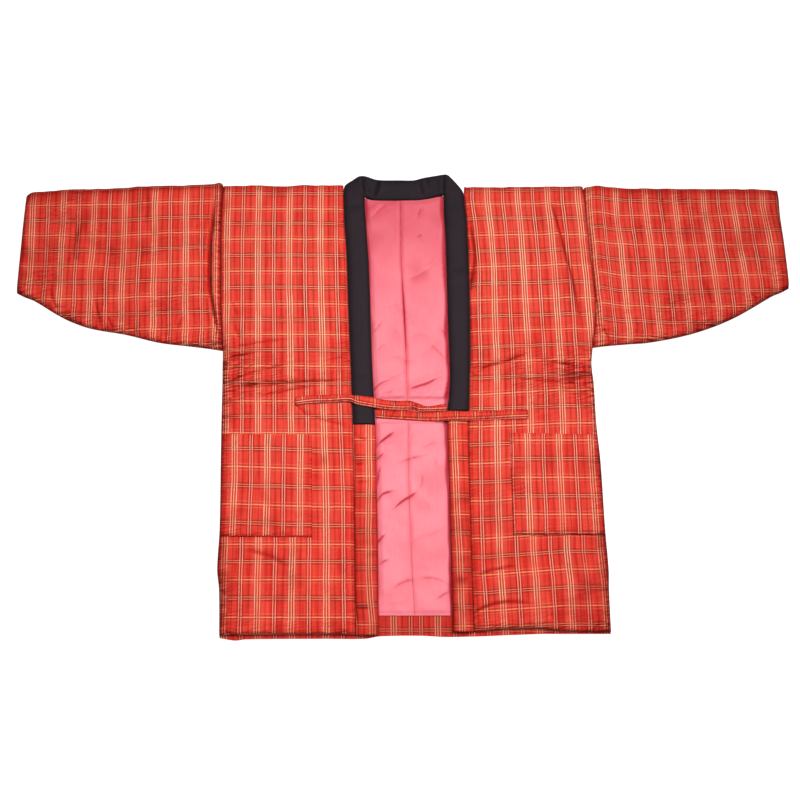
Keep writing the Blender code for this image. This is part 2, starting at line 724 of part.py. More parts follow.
def pocket(side, material):
    """A patch pocket that lies on the front and runs into the side seam."""
    shape = POCKETS[side]
    rows = 8
    outer, inner = {}, {}
    for j in range(rows + 1):
        t = j / rows
        inner_x = shape.inner_top[0] + (shape.inner_bottom[0] - shape.inner_top[0]) * t
        inner_y = shape.inner_top[1] + (shape.inner_bottom[1] - shape.inner_top[1]) * t
        side_y = shape.side_top + (shape.side_bottom - shape.side_top) * t
        edge_x = side_edge(side, side_y) - side * EDGE_STEPS[1]
        near = [step - EDGE_STEPS[1] for step in EDGE_STEPS[1:]]
        columns = spread(edge_x, inner_x, near, (0.0, POCKET_ROUND), 4)
        for i, x in enumerate(columns):
            y = side_y + (inner_y - side_y) * (x - edge_x) / (inner_x - edge_x)
            base = front_top(side, x, y) + LAY_GAP
            height = shape.side_top - shape.side_bottom
            edge = min(abs(x - inner_x), abs(x - edge_x), t * height, (1 - t) * height)
            fill = fullness(edge, POCKET_ROUND, POCKET_EDGE_PAD, POCKET_PAD)
            inner[(i, j)] = (x, y, base)
            outer[(i, j)] = (x, y, base + POCKET_PAD * fill)
    count = len(columns)
    name = "pocket_" + SIDE_NAMES[side]
    return pad_object(name, grid_cells(count, rows + 1), outer, inner, material)


def build():
    """Lay out every piece of the jacket."""
    clear_scene()
    plaid = (0.70, 0.06, 0.035)
    lining_pink = (0.92, 0.17, 0.25)
    for side in (RIGHT, LEFT):
        name = SIDE_NAMES[side]
        body_half(side, paint("plaid_body_" + name, plaid, 0.85))
        lining_half(side, paint("lining_cloth_" + name, lining_pink, 0.75))
        sleeve(side, paint("plaid_sleeve_" + name, plaid, 0.85))
        rows = band_sections(side, BAND_END_Y[side], COLLAR_END_Y[side] - SEAM_GAP)
        band_object("band_" + name, rows, paint("plaid_band_" + name, plaid, 0.85))
        pocket(side, paint("plaid_pocket_" + name, plaid, 0.85))
        tie(side, paint("plaid_tie_" + name, plaid, 0.85))
    neck = band_sections(RIGHT, COLLAR_END_Y[RIGHT], 0.335) + list(NECK_TURN)
    neck += list(reversed(band_sections(LEFT, COLLAR_END_Y[LEFT], 0.335)))
    band_object("collar", neck, paint("black_collar", (0.03, 0.022, 0.026), 0.55))


build()
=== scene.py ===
"""Looks of a hanten, a padded short jacket laid flat and open with its fronts up.

Metres, +Z up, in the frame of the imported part: +X is the wearer's left and +Y runs
from the hem to the neck. Each padded piece is a wall of two cloths with wadding
between them, laid out in numpy and joined into a mesh.
"""

import functools
import logging
import math
from dataclasses import dataclass
from enum import Enum

import bpy
import numpy as np
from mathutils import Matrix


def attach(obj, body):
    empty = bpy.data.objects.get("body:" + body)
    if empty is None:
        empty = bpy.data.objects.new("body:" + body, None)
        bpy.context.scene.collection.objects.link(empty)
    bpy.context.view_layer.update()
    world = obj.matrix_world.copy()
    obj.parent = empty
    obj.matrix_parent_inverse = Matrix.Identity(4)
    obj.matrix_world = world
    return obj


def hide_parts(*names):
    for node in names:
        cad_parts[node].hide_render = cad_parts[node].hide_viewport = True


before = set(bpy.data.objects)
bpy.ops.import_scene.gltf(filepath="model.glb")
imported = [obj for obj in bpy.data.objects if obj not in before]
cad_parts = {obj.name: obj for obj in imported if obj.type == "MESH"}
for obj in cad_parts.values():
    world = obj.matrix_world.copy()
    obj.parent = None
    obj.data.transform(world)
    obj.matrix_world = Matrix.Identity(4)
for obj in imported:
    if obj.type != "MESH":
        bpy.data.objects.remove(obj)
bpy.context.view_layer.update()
log = logging.getLogger("hanten")

Array = np.ndarray
Piece = bpy.types.Object
Material = bpy.types.Material
Socket = bpy.types.NodeSocket
Path = tuple[tuple[float, float], ...]

# Sizes that the solids share
PAD = 0.01  # wadded cloth, lying loose
SEAM_PAD = 0.003  # the same cloth at a sewn side or armhole
HEM_PAD = 0.0042  # the same cloth at a turned hem or front edge
BACK_SEAM_PAD = 0.0065  # the same cloth at the centre back seam
BAND_PAD = 0.0102
TIE_PAD = 0.0036
LINING_PAD = 0.001
SEAM_GAP = 0.0003  # between two pieces that are sewn together
LAY_GAP = 0.0006
SLIT = 0.0016  # between the front and the back lying on each other
SEAM_ROUND = 0.016  # how far in from a seam the wadding takes to fill out
HEM_ROUND = 0.011
FOLD_LIFT = 0.7  # share of a broad fold that lifts the inner face
BACK_TOP = PAD
FRONT_BASE = BACK_TOP + SLIT
FOLD_MIDDLE = BACK_TOP + SLIT / 2
LINING_BASE = BACK_TOP + SEAM_GAP
BAND_BASE = LINING_BASE + LINING_PAD + LAY_GAP
ARMHOLE_X = 0.332
CUFF_X = 0.6975
ARMPIT_Y = 0.045
LINING_HEM_Y = -0.3825
LINING_TUCK = 0.006  # how far the lining runs on under the fronts
TIE_Y = -0.0275  # middle of the ties where they lie on the lining
SEAM_TAKE = 0.002  # how far the inside of a sleeve's seam is taken in

# Steps in from an edge, finer than the solids'
EDGE_STEPS = (0.0, 0.0003, 0.0008, 0.0016, 0.0028, 0.0045, 0.0068, 0.0096, 0.013, 0.0165)
LIP = 0.28  # share of the thickness left at the very edge of a wall
LIP_ROUND = 0.0024  # how far in a wall's edge is rounded
PINCH = 0.008  # how far in a side seam draws front and back together
PINCH_RISE = 0.035  # height over which that fades at the armhole
CLEAR = 0.0002  # left open between them there
THINNEST = 0.0006  # of a wadded cloth, however deep the dents in it are
ROUND_PAD = PAD + SLIT / 2  # radius at which the check runs round a top fold
BODY_LENGTH = 0.78  # for the count of rows
BAND_TURN_Y = 0.335  # where the neck band leaves the front edges
CREASE_SHADE_FULL = 0.0045  # depth of a crease at which its painted shade is full
EDGE_SHADE_REACH = 0.004  # how far in from a sewn edge the painted shade fades
CLOTH_STEP = 0.0026  # pitch of the net on the faces that show
LINING_STEP = 0.002
HIDDEN_STEP = 0.007  # and on the underside
FEW_STEPS = EDGE_STEPS[:6]
WHITE = (1.0, 1.0, 1.0, 1.0)
SHEEN_ROUGHNESS = 0.45
WARP_REPEAT = 0.057
WEFT_REPEAT = 0.0615


class Side(Enum):
    """A side of the wearer, by the way that it lies along X."""

    RIGHT = -1
    LEFT = 1

    @property
    def way(self) -> int:
        """Sign of X on this side."""
        return self.value

    @property
    def word(self) -> str:
        """The side's name in the names of pieces."""
        return self.name.lower()


def soft_step(t: Array) -> Array:
    """Rise from 0 to 1 with level ends."""
    t = np.clip(t, 0.0, 1.0)
    return t * t * (3.0 - 2.0 * t)


def metres(*tenths: float) -> tuple[float, ...]:
    """Turn a table's numbers from tenths of a millimetre into metres."""
    return tuple(number / 10000 for number in tenths)


def metre_path(spots: Path) -> Path:
    """Turn a path from tenths of a millimetre into metres."""
    return tuple(metres(*spot) for spot in spots)


def fade(distance: Array, reach: float) -> Array:
    """Fall off from 1 over a distance."""
    return np.exp(-distance / reach)


def swell(place: Array, middle: float, width: float) -> Array:
    """Rise to 1 about a middle place."""
    return np.exp(-((place - middle) / width) ** 2)


def nearest(*distances: Array) -> Array:
    """Give the least of some distances at each point."""
    return functools.reduce(np.minimum, distances)


def fullness(distance: Array, reach: float, edge: float, full: float) -> Array:
    """Share of the full wadding at a distance from an edge, on a round shoulder.

    Args:
        distance: How far in from the edge.
        reach: Distance at which the wadding is full.
        edge: Thickness at the edge.
        full: Thickness of the full wadding.

    Returns:
        The share, from edge / full up to 1.
    """
    t = np.clip(distance / reach, 0.0, 1.0)
    return edge / full + (1.0 - edge / full) * np.sqrt(1.0 - (1.0 - t) ** 2)


def wadding(*edges: tuple[Array, float, float]) -> Array:
    """Share of the full wadding between edges, each with its reach and its thickness."""
    return math.prod(fullness(distance, reach, edge, PAD) for distance, reach, edge in edges)


def rim(distance: Array, lip: float = LIP, reach: float = LIP_ROUND) -> Array:
    """Share of the thickness left where a wall rounds off at its edge."""
    return fullness(np.maximum(distance, 0.0), reach, lip, 1.0)


def edge_painted_shade(distance: Array, depth: float = 0.75,
                reach: float = EDGE_SHADE_REACH) -> Array:
    """Painted shade near an edge, where the cloth turns away from the light.

    Args:
        distance: How far in from the edge.
        depth: Painted shade at the edge itself.
        reach: How far in it fades.

    Returns:
        The painted shade, from 0 to 1.
    """
    return depth * fade(np.maximum(distance, 0.0), reach)


def painted_falloff(x: Array, y: Array) -> Array:
    """Painted shade that grows away from the fronts' upper part, standing in for the light's falloff."""
    away = np.hypot((x - 0.02) / 0.62, (y - 0.2) / 0.6)
    return 0.27 * soft_step((away - 0.3) / 0.65)


@dataclass(frozen=True)
class Trace:
    """A smooth curve through given points, read as the solids read theirs."""

    places: tuple[float, ...]
    values: tuple[float, ...]

    def __call__(self, at: Array | float) -> Array:
        """Read the curve at some places.

        Args:
            at: Places along the curve; those past an end read the end.

        Returns:
            The values there.
        """
        order = np.argsort(self.places)
        places, values = np.array(self.places)[order], np.array(self.values)[order]
        last = len(places) - 1
        low = np.maximum(np.arange(last + 1) - 1, 0)
        high = np.minimum(np.arange(last + 1) + 1, last)
        slopes = (values[high] - values[low]) / (places[high] - places[low])
        at = np.clip(at, places[0], places[-1])
        k = np.clip(np.searchsorted(places, at, side="right") - 1, 0, last - 1)
        run = places[k + 1] - places[k]
        t = (at - places[k]) / run
        return (values[k] * (1 + 2 * t) * (1 - t) ** 2 + slopes[k] * run * t * (1 - t) ** 2
                + values[k + 1] * t * t * (3 - 2 * t) - slopes[k + 1] * run * t * t * (1 - t))


@dataclass(frozen=True)
class Unevenness:
    """Smooth, seeded ups and downs of a height over a length."""

    seed: int
    length: float
    height: float
    stretch: float = 1.0  # how much longer they are along the second place
    turn: float = 0.7

    def __call__(self, x: Array, y: Array) -> Array:
        """Read the heights.

        Args:
            x: First place of each point.
            y: Second place of each point.

        Returns:
            The height at each point.
        """
        size = 61
        table = np.random.default_rng(self.seed).uniform(-1.0, 1.0, (size, size))
        across = (x * math.cos(self.turn) + y * math.sin(self.turn)) / self.length
        along = (y * math.cos(self.turn) - x * math.sin(self.turn)) / (self.length * self.stretch)
        i, j = np.floor(across).astype(int), np.floor(along).astype(int)
        a, b = soft_step(across - i), soft_step(along - j)
        i, j, n, m = i % size, j % size, (i + 1) % size, (j + 1) % size
        near = table[i, j] * (1 - a) + table[n, j] * a
        far = table[i, m] * (1 - a) + table[n, m] * a
        return self.height * (near * (1 - b) + far * b)


def roughened(height: Array, x: Array, y: Array,
              *layers: tuple[float, ...]) -> Array:
    """Add layers of unevenness, each given by its fields, to a height."""
    return sum((Unevenness(*layer)(x, y) for layer in layers), height)


@dataclass(frozen=True)
class Fold:
    """A broad soft ridge or hollow from one point to another, as in the solids."""

    x0: float
    y0: float
    x1: float
    y1: float
    width: float
    height: float

    def __call__(self, x: Array, y: Array) -> Array:
        """Height that the fold adds at each point.

        Args:
            x: Places along X.
            y: Places along Y.

        Returns:
            The height at each point.
        """
        run_x, run_y = self.x1 - self.x0, self.y1 - self.y0
        length = math.hypot(run_x, run_y)
        along = ((x - self.x0) * run_x + (y - self.y0) * run_y) / length
        across = ((x - self.x0) * run_y - (y - self.y0) * run_x) / length
        past = np.maximum(np.maximum(-along, along - length), 0.0)
        return self.height * np.exp(-(across / self.width) ** 2 - (past / self.width) ** 2)


def beside_path(path: Path, reach: float, x: Array,
                y: Array) -> tuple[Array, ...] | None:
    """Place points beside a given path.

    Args:
        path: The path's points.
        reach: How far from the path points still count.
        x: Places of the points along X.
        y: Places of the points along Y.

    Returns:
        Which points are near, and for those the distance, how far along the path they
        are, from 0 to 1, and 1 on its left or -1 on its right; None where none is near.
    """
    spots = np.array(path)
    marks = tuple(np.linspace(0.0, 1.0, len(spots)))
    fine = np.linspace(0.0, 1.0, 6 * (len(spots) - 1) + 1)
    line = np.stack([Trace(marks, tuple(spots[:, k]))(fine) for k in (0, 1)], axis=1)
    near = ((x > line[:, 0].min() - reach) & (x < line[:, 0].max() + reach)
            & (y > line[:, 1].min() - reach) & (y < line[:, 1].max() + reach))
    if not near.any():
        return None
    px, py = x[near], y[near]
    best = np.full(px.shape, np.inf)
    along, side = np.zeros(px.shape), np.zeros(px.shape)
    for k, (start, end) in enumerate(zip(line[:-1], line[1:])):
        run = end - start
        t = np.clip(((px - start[0]) * run[0] + (py - start[1]) * run[1]) / (run @ run), 0, 1)
        off_x, off_y = px - start[0] - run[0] * t, py - start[1] - run[1] * t
        distance = np.hypot(off_x, off_y)
        closer = distance < best
        best = np.where(closer, distance, best)
        along = np.where(closer, (k + t) / (len(line) - 1), along)
        side = np.where(closer, np.sign(run[0] * off_y - run[1] * off_x), side)
    return near, best, along, side


@dataclass(frozen=True)
class Crease:
    """A sharp valley along a given path, with the cloth raised beside it."""

    path: Path
    width: float
    depth: float
    banks: tuple[float, float] = (0.35, 0.35)  # rise on the left and right, as shares

    def __call__(self, x: Array, y: Array) -> Array:
        """Height that the crease adds.

        Args:
            x: Places of the points along X.
            y: Places of the points along Y.

        Returns:
            The height at each point, below zero in the valley.
        """
        height = np.zeros(np.shape(x))
        beside = beside_path(self.path, 5.0 * self.width, x, y)
        if beside is None:
            return height
        near, best, along, side = beside
        strength = soft_step(along / 0.3) * soft_step((1.0 - along) / 0.3)
        strength = 0.12 + 0.88 * strength
        strength *= np.exp(-np.where((along <= 0) | (along >= 1), best / self.width, 0.0))
        bank = np.where(side > 0, self.banks[0], self.banks[1])
        raised = bank * np.exp(-((best - 2.4 * self.width) / (1.4 * self.width)) ** 2)
        trough = np.exp(-(best / self.width) ** 1.2)
        height[near] = self.depth * strength * (raised - trough)
        return height


def laid(forms: tuple, x: Array, y: Array) -> Array:
    """Height that some folds or creases add together."""
    return sum(form(x, y) for form in forms)


def crease_painted_shade(forms: tuple, x: Array, y: Array) -> Array:
    """Painted shade of each point in some creases, from 0 to 1 where a crease is at full depth."""
    return np.maximum(-laid(forms, x, y) / CREASE_SHADE_FULL, 0.0)


def fold_rows(*rows: tuple[float, ...]) -> tuple[Fold, ...]:
    """Make folds from rows of their fields in tenths of a millimetre."""
    return tuple(Fold(*metres(*row)) for row in rows)


def crease_rows(*rows: tuple) -> tuple[Crease, ...]:
    """Make creases from rows of path, width and depth in tenths of a millimetre, and banks."""
    return tuple(Crease(metre_path(path), *metres(width, depth), *banks)
                 for path, width, depth, *banks in rows)


@dataclass(frozen=True)
class Chart:
    """Where the check lies on a piece of cloth, from its own lines in tenths of a millimetre.

    A whole count is the middle of a triple warp stripe or of a weft pair, and a half
    is a double warp stripe or a single gold weft.
    """

    warps: tuple[tuple[float, Path], ...]  # count, then (y, x) down the line
    first_weft: float
    wefts: tuple[tuple[float, tuple[float, ...]], ...]  # x, then y at each half count

    def __call__(self, x: Array, y: Array) -> Array:
        """Read the check.

        Args:
            x: Places along X.
            y: Places along Y.

        Returns:
            Warp and weft counts in the last axis.
        """
        lines = []
        for count, path in self.warps:
            ys, xs = np.array(sorted(path)).T / 10000
            lines.append((count, np.interp(y, ys, xs)))
        count, line = lines[0]
        warp = count + (x - line) / WARP_REPEAT
        for (count, line), (after, following) in zip(lines, lines[1:]):
            part = (x - line) / (following - line)
            warp = np.where(x > line, count + (after - count) * part, warp)
        count, line = lines[-1]
        warp = np.where(x > line, count + (x - line) / WARP_REPEAT, warp)

        columns = []
        for place, ys in ((metres(x)[0], metres(*ys)) for x, ys in self.wefts):
            counts = self.first_weft + 0.5 * np.arange(len(ys))
            inside = np.interp(-y, -np.array(ys), counts)
            above = np.maximum(y - ys[0], 0.0) / WEFT_REPEAT
            below = np.maximum(ys[-1] - y, 0.0) / WEFT_REPEAT
            columns.append((place, inside - above + below))
        weft = columns[0][1]
        for (place, column), (after, following) in zip(columns, columns[1:]):
            part = np.clip((x - place) / (after - place), 0.0, 1.0)
            weft = np.where(x > place, column + (following - column) * part, weft)
        return np.stack([warp, weft], axis=-1)


@dataclass(frozen=True)
class Rule:
    """Places from one edge to another, close together near either edge."""

    near: tuple[float, ...]
    far: tuple[float, ...]
    count: int
    pace: Trace = Trace((0.0, 1.0), (0.0, 1.0))  # where the places fall, as shares

    @property
    def shares(self) -> Array:
        """Share of the way across, before the steps are added."""
        inner = self.pace(np.arange(1, self.count) / self.count)
        return np.concatenate([np.zeros(len(self.near)), inner, np.ones(len(self.far))])

    @property
    def steps(self) -> Array:
        """Steps in from the nearer edge, above zero from the first one.

        Returns:
            The steps, one for each place.
        """
        inner = self.pace(np.arange(1, self.count) / self.count)
        blend = self.near[-1] * (1 - inner) - self.far[-1] * inner
        return np.concatenate([self.near, blend, -np.array(self.far)[::-1]])

    def across(self, start: Array | float, end: Array | float) -> Array:
        """Places between two edges.

        Args:
            start: The first edge, with a last axis of one or of the places.
            end: The other edge.

        Returns:
            The places, along the last axis.
        """
        way = np.sign(np.mean(end) - np.mean(start))
        return start + (end - start) * self.shares + way * self.steps


def steps_for(length: float, pitch: float) -> int:
    """Number of steps of about a pitch that fill a length."""
    return max(2, round(length / pitch))


WAIST_PACE = Trace((0.0, 0.455, 0.685, 1.0), (0.0, 0.5, 0.665, 1.0))


@dataclass
class Wall:
    """A net of cloth with an outer and an inner face, closed along its open edges."""

    outer: Array
    inner: Array
    outer_check: Array
    inner_check: Array
    kept: Array | None = None
    inner_finish: Array | None = None
    ring: bool = False
    hollow: Array | None = None  # painted shade: 1 full in a crease or at a seam, 0 elsewhere
    drawn: Array | None = None  # 1 where the cloth is drawn into fine wrinkles

    def make(self, name: str, finishes: list[Material]) -> Piece:
        """Join the net into one smooth closed mesh.

        Args:
            name: Name of the piece.
            finishes: Its materials; the outer face takes the first.

        Returns:
            The piece.
        """
        rows, columns = self.outer.shape[:2]
        count = rows * columns
        spots = np.arange(count).reshape(rows, columns)
        kept = np.ones((rows - 1, columns - 1), bool) if self.kept is None else self.kept
        cells = np.stack([spots[:-1, :-1], spots[:-1, 1:], spots[1:, 1:], spots[1:, :-1]], -1)
        cells = cells[kept]
        place = spots.copy()
        if self.ring:
            place[:, -1] = place[:, 0]
        place = place.ravel()

        starts, ends = cells, np.roll(cells, -1, axis=1)
        forward = place[starts] * count + place[ends]
        backward = place[ends] * count + place[starts]
        loose = ~np.isin(forward, backward)
        start, end = starts[loose], ends[loose]
        sides = np.stack([end, start, start + count, end + count], -1)
        faces = np.concatenate([cells, cells[:, ::-1] + count, sides])

        inner_finish = np.zeros(kept.shape, int) if self.inner_finish is None else \
            self.inner_finish
        finish = np.concatenate([np.zeros(len(cells), int), inner_finish[kept],
                                 np.zeros(len(sides), int)])
        check = np.concatenate([self.outer_check.reshape(-1, 2), self.inner_check.reshape(-1, 2)])
        points = np.concatenate([self.outer.reshape(-1, 3), self.inner.reshape(-1, 3)])
        welded = np.concatenate([place, place + count])[faces]
        used, corners = np.unique(welded, return_inverse=True)
        corners = corners.reshape(faces.shape)
        points = points[used]

        first, second, third, fourth = (points[corners[:, k]] for k in range(4))
        spanned = np.cross(second - first, third - first) + np.cross(third - first, fourth - first)
        if np.sum(spanned * first) < 0.0:
            corners, faces = corners[:, ::-1], faces[:, ::-1]
        mesh = bpy.data.meshes.new(name)
        mesh.from_pydata(points.tolist(), [], corners.tolist())
        layer = mesh.uv_layers.new(name="Check")
        layer.data.foreach_set("uv", check[faces.ravel()].ravel())
        # The first field is the painted shade that the materials darken by; the second marks where the
        # cloth is drawn into fine wrinkles.
        for word, field in (("Hollow", self.hollow), ("Drawn", self.drawn)):
            field = np.zeros((rows, columns)) if field is None else np.clip(field, 0, 1)
            attribute = mesh.attributes.new(word, "FLOAT", "POINT")
            attribute.data.foreach_set("value", np.tile(field.ravel(), 2)[used])
        mesh.polygons.foreach_set("material_index", finish)
        for material in finishes:
            mesh.materials.append(material)
        mesh.shade_smooth()
        piece = bpy.data.objects.new(name, mesh)
        bpy.context.collection.objects.link(piece)
        return piece


def hand_over(piece: Piece, node: str) -> Piece:
    """Tell the frame what a piece is.

    Args:
        piece: The finished piece.
        node: The solid that it stands for.

    Returns:
        The same piece.
    """
    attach(piece, "root")
    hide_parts(node)
    log.info("%s: %d faces", piece.name, len(piece.data.polygons))
    return piece


# Edges of the body, by height on the table. Whole numbers here and in the tables below
# are tenths of a millimetre.
BODY_Y = metres(4000, 3480, 2580, 1600, 820, 560, 220, -500, -1180, -2360, -3050, -3400, -4240)
SIDE_EDGE = {
    Side.RIGHT: Trace(BODY_Y, metres(-3305, -3335, -3315, -3275, -3215, -3210, -3200, -3190, -3175,
        -3150, -3165, -3120, -3085)),
    Side.LEFT: Trace(BODY_Y, metres(3315, 3360, 3415, 3465, 3375, 3350, 3375, 3390, 3435, 3465, 3495, 3485,
        3490)),
}
FRONT_EDGE = {
    Side.RIGHT: Trace(BODY_Y, metres(-1105, -1090, -1025, -985, -945, -930, -915, -885, -865,
        -835, -820, -815, -795)),
    Side.LEFT: Trace(BODY_Y, metres(1120, 1155, 1190, 1200, 1195, 1188, 1175, 1148, 1142, 1155, 1165, 1170,
        1185)),
}
centre_back = Trace(BODY_Y, metres(-55, -50, -40, 15, 50, 55, 65, 85, 85, 120, 150, 170, 220))
HEM_X = metres(-3085, -2820, -2650, -1300, -640, -400, 300, 700, 1300, 1650, 2360, 2550, 3490)
front_hem = Trace(HEM_X, metres(-4155, -4145, -4145, -4135, -4150, -4150, -4120, -4095, -4085, -4045, -4035,
        -4065, -4095))
back_hem = Trace(HEM_X, metres(-4195, -4235, -4215, -4205, -4205, -4165, -4155, -4175, -4165, -4150, -4125,
        -4125, -4125))
neckline = Trace(metres(-1110, -705, -545, 225, 405, 555, 755, 1130), metres(3835, 3755, 3712, 3712, 3730,
        3760, 3800, 3830))
SHOULDER_Y = {Side.RIGHT: 0.3892, Side.LEFT: 0.3865}
BAND_Y = metres(3450, 3080, 2450, 1580, 870, 220, -300, -560, -1200, -2400, -3700, -4150)
BAND_EDGE = {
    Side.RIGHT: Trace(BAND_Y, metres(-690, -665, -620, -585, -560, -530, -500, -485, -470, -440,
        -420, -415)),
    Side.LEFT: Trace(BAND_Y, metres(750, 770, 785, 800, 815, 825, 775, 775, 787, 805, 820, 825)),
}
COLLAR_END_Y = {Side.RIGHT: -0.0535, Side.LEFT: -0.0295}
BAND_END_Y = {Side.RIGHT: -0.415, Side.LEFT: -0.4095}

FRONT_CHARTS = {
    Side.RIGHT: Chart(((0.5, ((3670, -2928), (2790, -2919), (1930, -2890), (1080, -2865),
            (250, -2850), (-290, -2823), (-2730, -2750), (-3240, -2752), (-3730, -2742))),
        (2.0, ((3670, -2082), (2790, -2067), (1930, -2048), (1080, -2007), (250, -1980), (-290, -1971),
            (-2730, -1880), (-3240, -1886), (-3900, -1879))),
        (3.5, ((3670, -1230), (2700, -1215), (1740, -1180), (900, -1144), (-20, -1120), (-820, -1082),
            (-1700, -1035), (-2730, -1017), (-3570, -1000), (-3980, -987)))),
        0.0,
        ((-2000, (3801, 3498, 3212, 2906, 2591, 2287, 1978, 1668, 1369, 1091, 810, 511, 201, -126, -399,
            -691, -1012, -1345, -1668, -1992, -2315, -2637, -2928, -3231, -3538, -3857, -4146)),)),
    Side.LEFT: Chart(((-0.5, ((3670, 1269), (3080, 1335), (2410, 1378), (1550, 1363), (440, 1376),
            (-910, 1346), (-1960, 1345), (-2980, 1355), (-3730, 1390), (-3930, 1401))),
        (1.0, ((3670, 2106), (2990, 2153), (2220, 2183), (1460, 2204), (620, 2228), (-110, 2231),
            (-2730, 2212), (-3240, 2247), (-3820, 2265))),
        (2.5, ((3670, 2923), (2990, 2976), (2220, 3019), (1460, 3047), (620, 3076), (-110, 3075),
            (-2730, 3067), (-3240, 3110), (-3870, 3132)))),
        0.0,
        ((1384, (3850, 3591, 3314, 2988, 2678, 2372, 2053, 1744, 1435, 1156, 850, 581, 301, -10, -263, -587,
            -904, -1239, -1561, -1890, -2213, -2535, -2847, -3154, -3445, -3752, -4031)),
        (2755, (3870, 3595, 3316, 2999, 2697, 2406, 2085, 1779, 1471, 1199, 913, 644, 356, 81, -207, -521,
            -842, -1169, -1493, -1815, -2134, -2451, -2755, -3054, -3355, -3657, -3969)))),
}
SLEEVE_CHARTS = {
    Side.RIGHT: Chart(((0.0, ((3570, -6789), (3280, -6768), (2930, -6761), (2460, -6746),
            (2020, -6733))),
        (2.0, ((3570, -5656), (3160, -5647), (2700, -5640), (2220, -5647), (1740, -5626), (1270, -5613))),
        (4.0, ((3570, -4545), (2890, -4516), (2220, -4492), (1740, -4485), (1270, -4458))),
        (5.5, ((3570, -3699), (2890, -3663), (2220, -3638), (1650, -3617), (1270, -3594))),
        (6.0, ((3670, -3430), (2990, -3423), (2310, -3409), (1740, -3383), (1270, -3346)))),
        0.5,
        ((-6648, (3565, 3259, 2978, 2685, 2387, 2077, 1749, 1439)),
        (-5190, (3585, 3269, 2976, 2678, 2372, 2072, 1772, 1469, 1169)),
        (-3729, (3656, 3349, 3046, 2745, 2443, 2140, 1838, 1529, 1220)))),
    Side.LEFT: Chart(((0.0, ((3570, 3420), (3080, 3439), (2700, 3454), (2120, 3482), (1550, 3520),
            (1180, 3534))),
        (1.0, ((3570, 3905), (3080, 3931), (2700, 3964), (2120, 3985), (1550, 4012), (1180, 4038))),
        (3.0, ((3570, 4988), (3080, 5018), (2700, 5048), (2120, 5085), (1550, 5115))),
        (5.0, ((3570, 6050), (3080, 6103), (2700, 6129), (2120, 6183), (1740, 6200))),
        (6.0, ((3570, 6597), (3080, 6656), (2700, 6683), (2120, 6710), (1740, 6708)))),
        0.0,
        ((3563, (3712, 3430, 3140, 2854, 2556, 2264, 1977, 1681, 1397, 1086)),
        (3887, (3684, 3390, 3099, 2815, 2518, 2215, 1923, 1640, 1352, 1050)),
        (4707, (3648, 3355, 3060, 2788, 2494, 2188, 1891, 1610, 1323)),
        (6294, (3646, 3375, 3089, 2809, 2514, 2213, 1914, 1617)))),
}
POCKET_CHARTS = {
    Side.RIGHT: Chart(((0.0, ((-830, -2925), (-1530, -2903), (-2140, -2913))),
        (2.0, ((-830, -1785), (-1530, -1777), (-2230, -1762)))),
        0.0,
        ((-2911, (-976, -1293, -1621, -1946, -2261)),
        (-1775, (-996, -1331, -1651, -1986, -2302)))),
    Side.LEFT: Chart(((0.5, ((-920, 1888), (-1530, 1877), (-2230, 1881))),
        (3.0, ((-920, 3259), (-1620, 3272), (-2230, 3291)))),
        0.5,
        ((2600, (-831, -1158, -1485, -1807, -2127, -2457)),)),
}
BAND_CHARTS = {
    Side.RIGHT: Chart(((0.0, ((-650, -603), (-1530, -586), (-2390, -594), (-3150, -581),
            (-3600, -552), (-4000, -513))),),
        0.5,
        ((-600, (-813, -1136, -1461, -1790, -2099, -2412, -2719, -3034, -3337, -3653, -3974)),)),
    Side.LEFT: Chart(((0.0, ((-650, 888), (-1350, 906), (-2050, 924), (-2730, 953), (-3400, 973),
            (-3970, 986))),),
        0.0,
        ((1000, (-495, -830, -1149, -1480, -1805, -2125, -2441, -2757, -3069, -3380, -3686, -3997)),)),
}
# The back's own hem, turned in, where it shows below the lining
HEM_CHARTS = {
    Side.RIGHT: Chart(((0.0, ((-3600, -164), (-4200, -160))),), 0.0, ((0, (-4060,)),)),
    Side.LEFT: Chart(((1.0, ((-3600, 581), (-4200, 585))),), 0.0, ((0, (-4060,)),)),
}

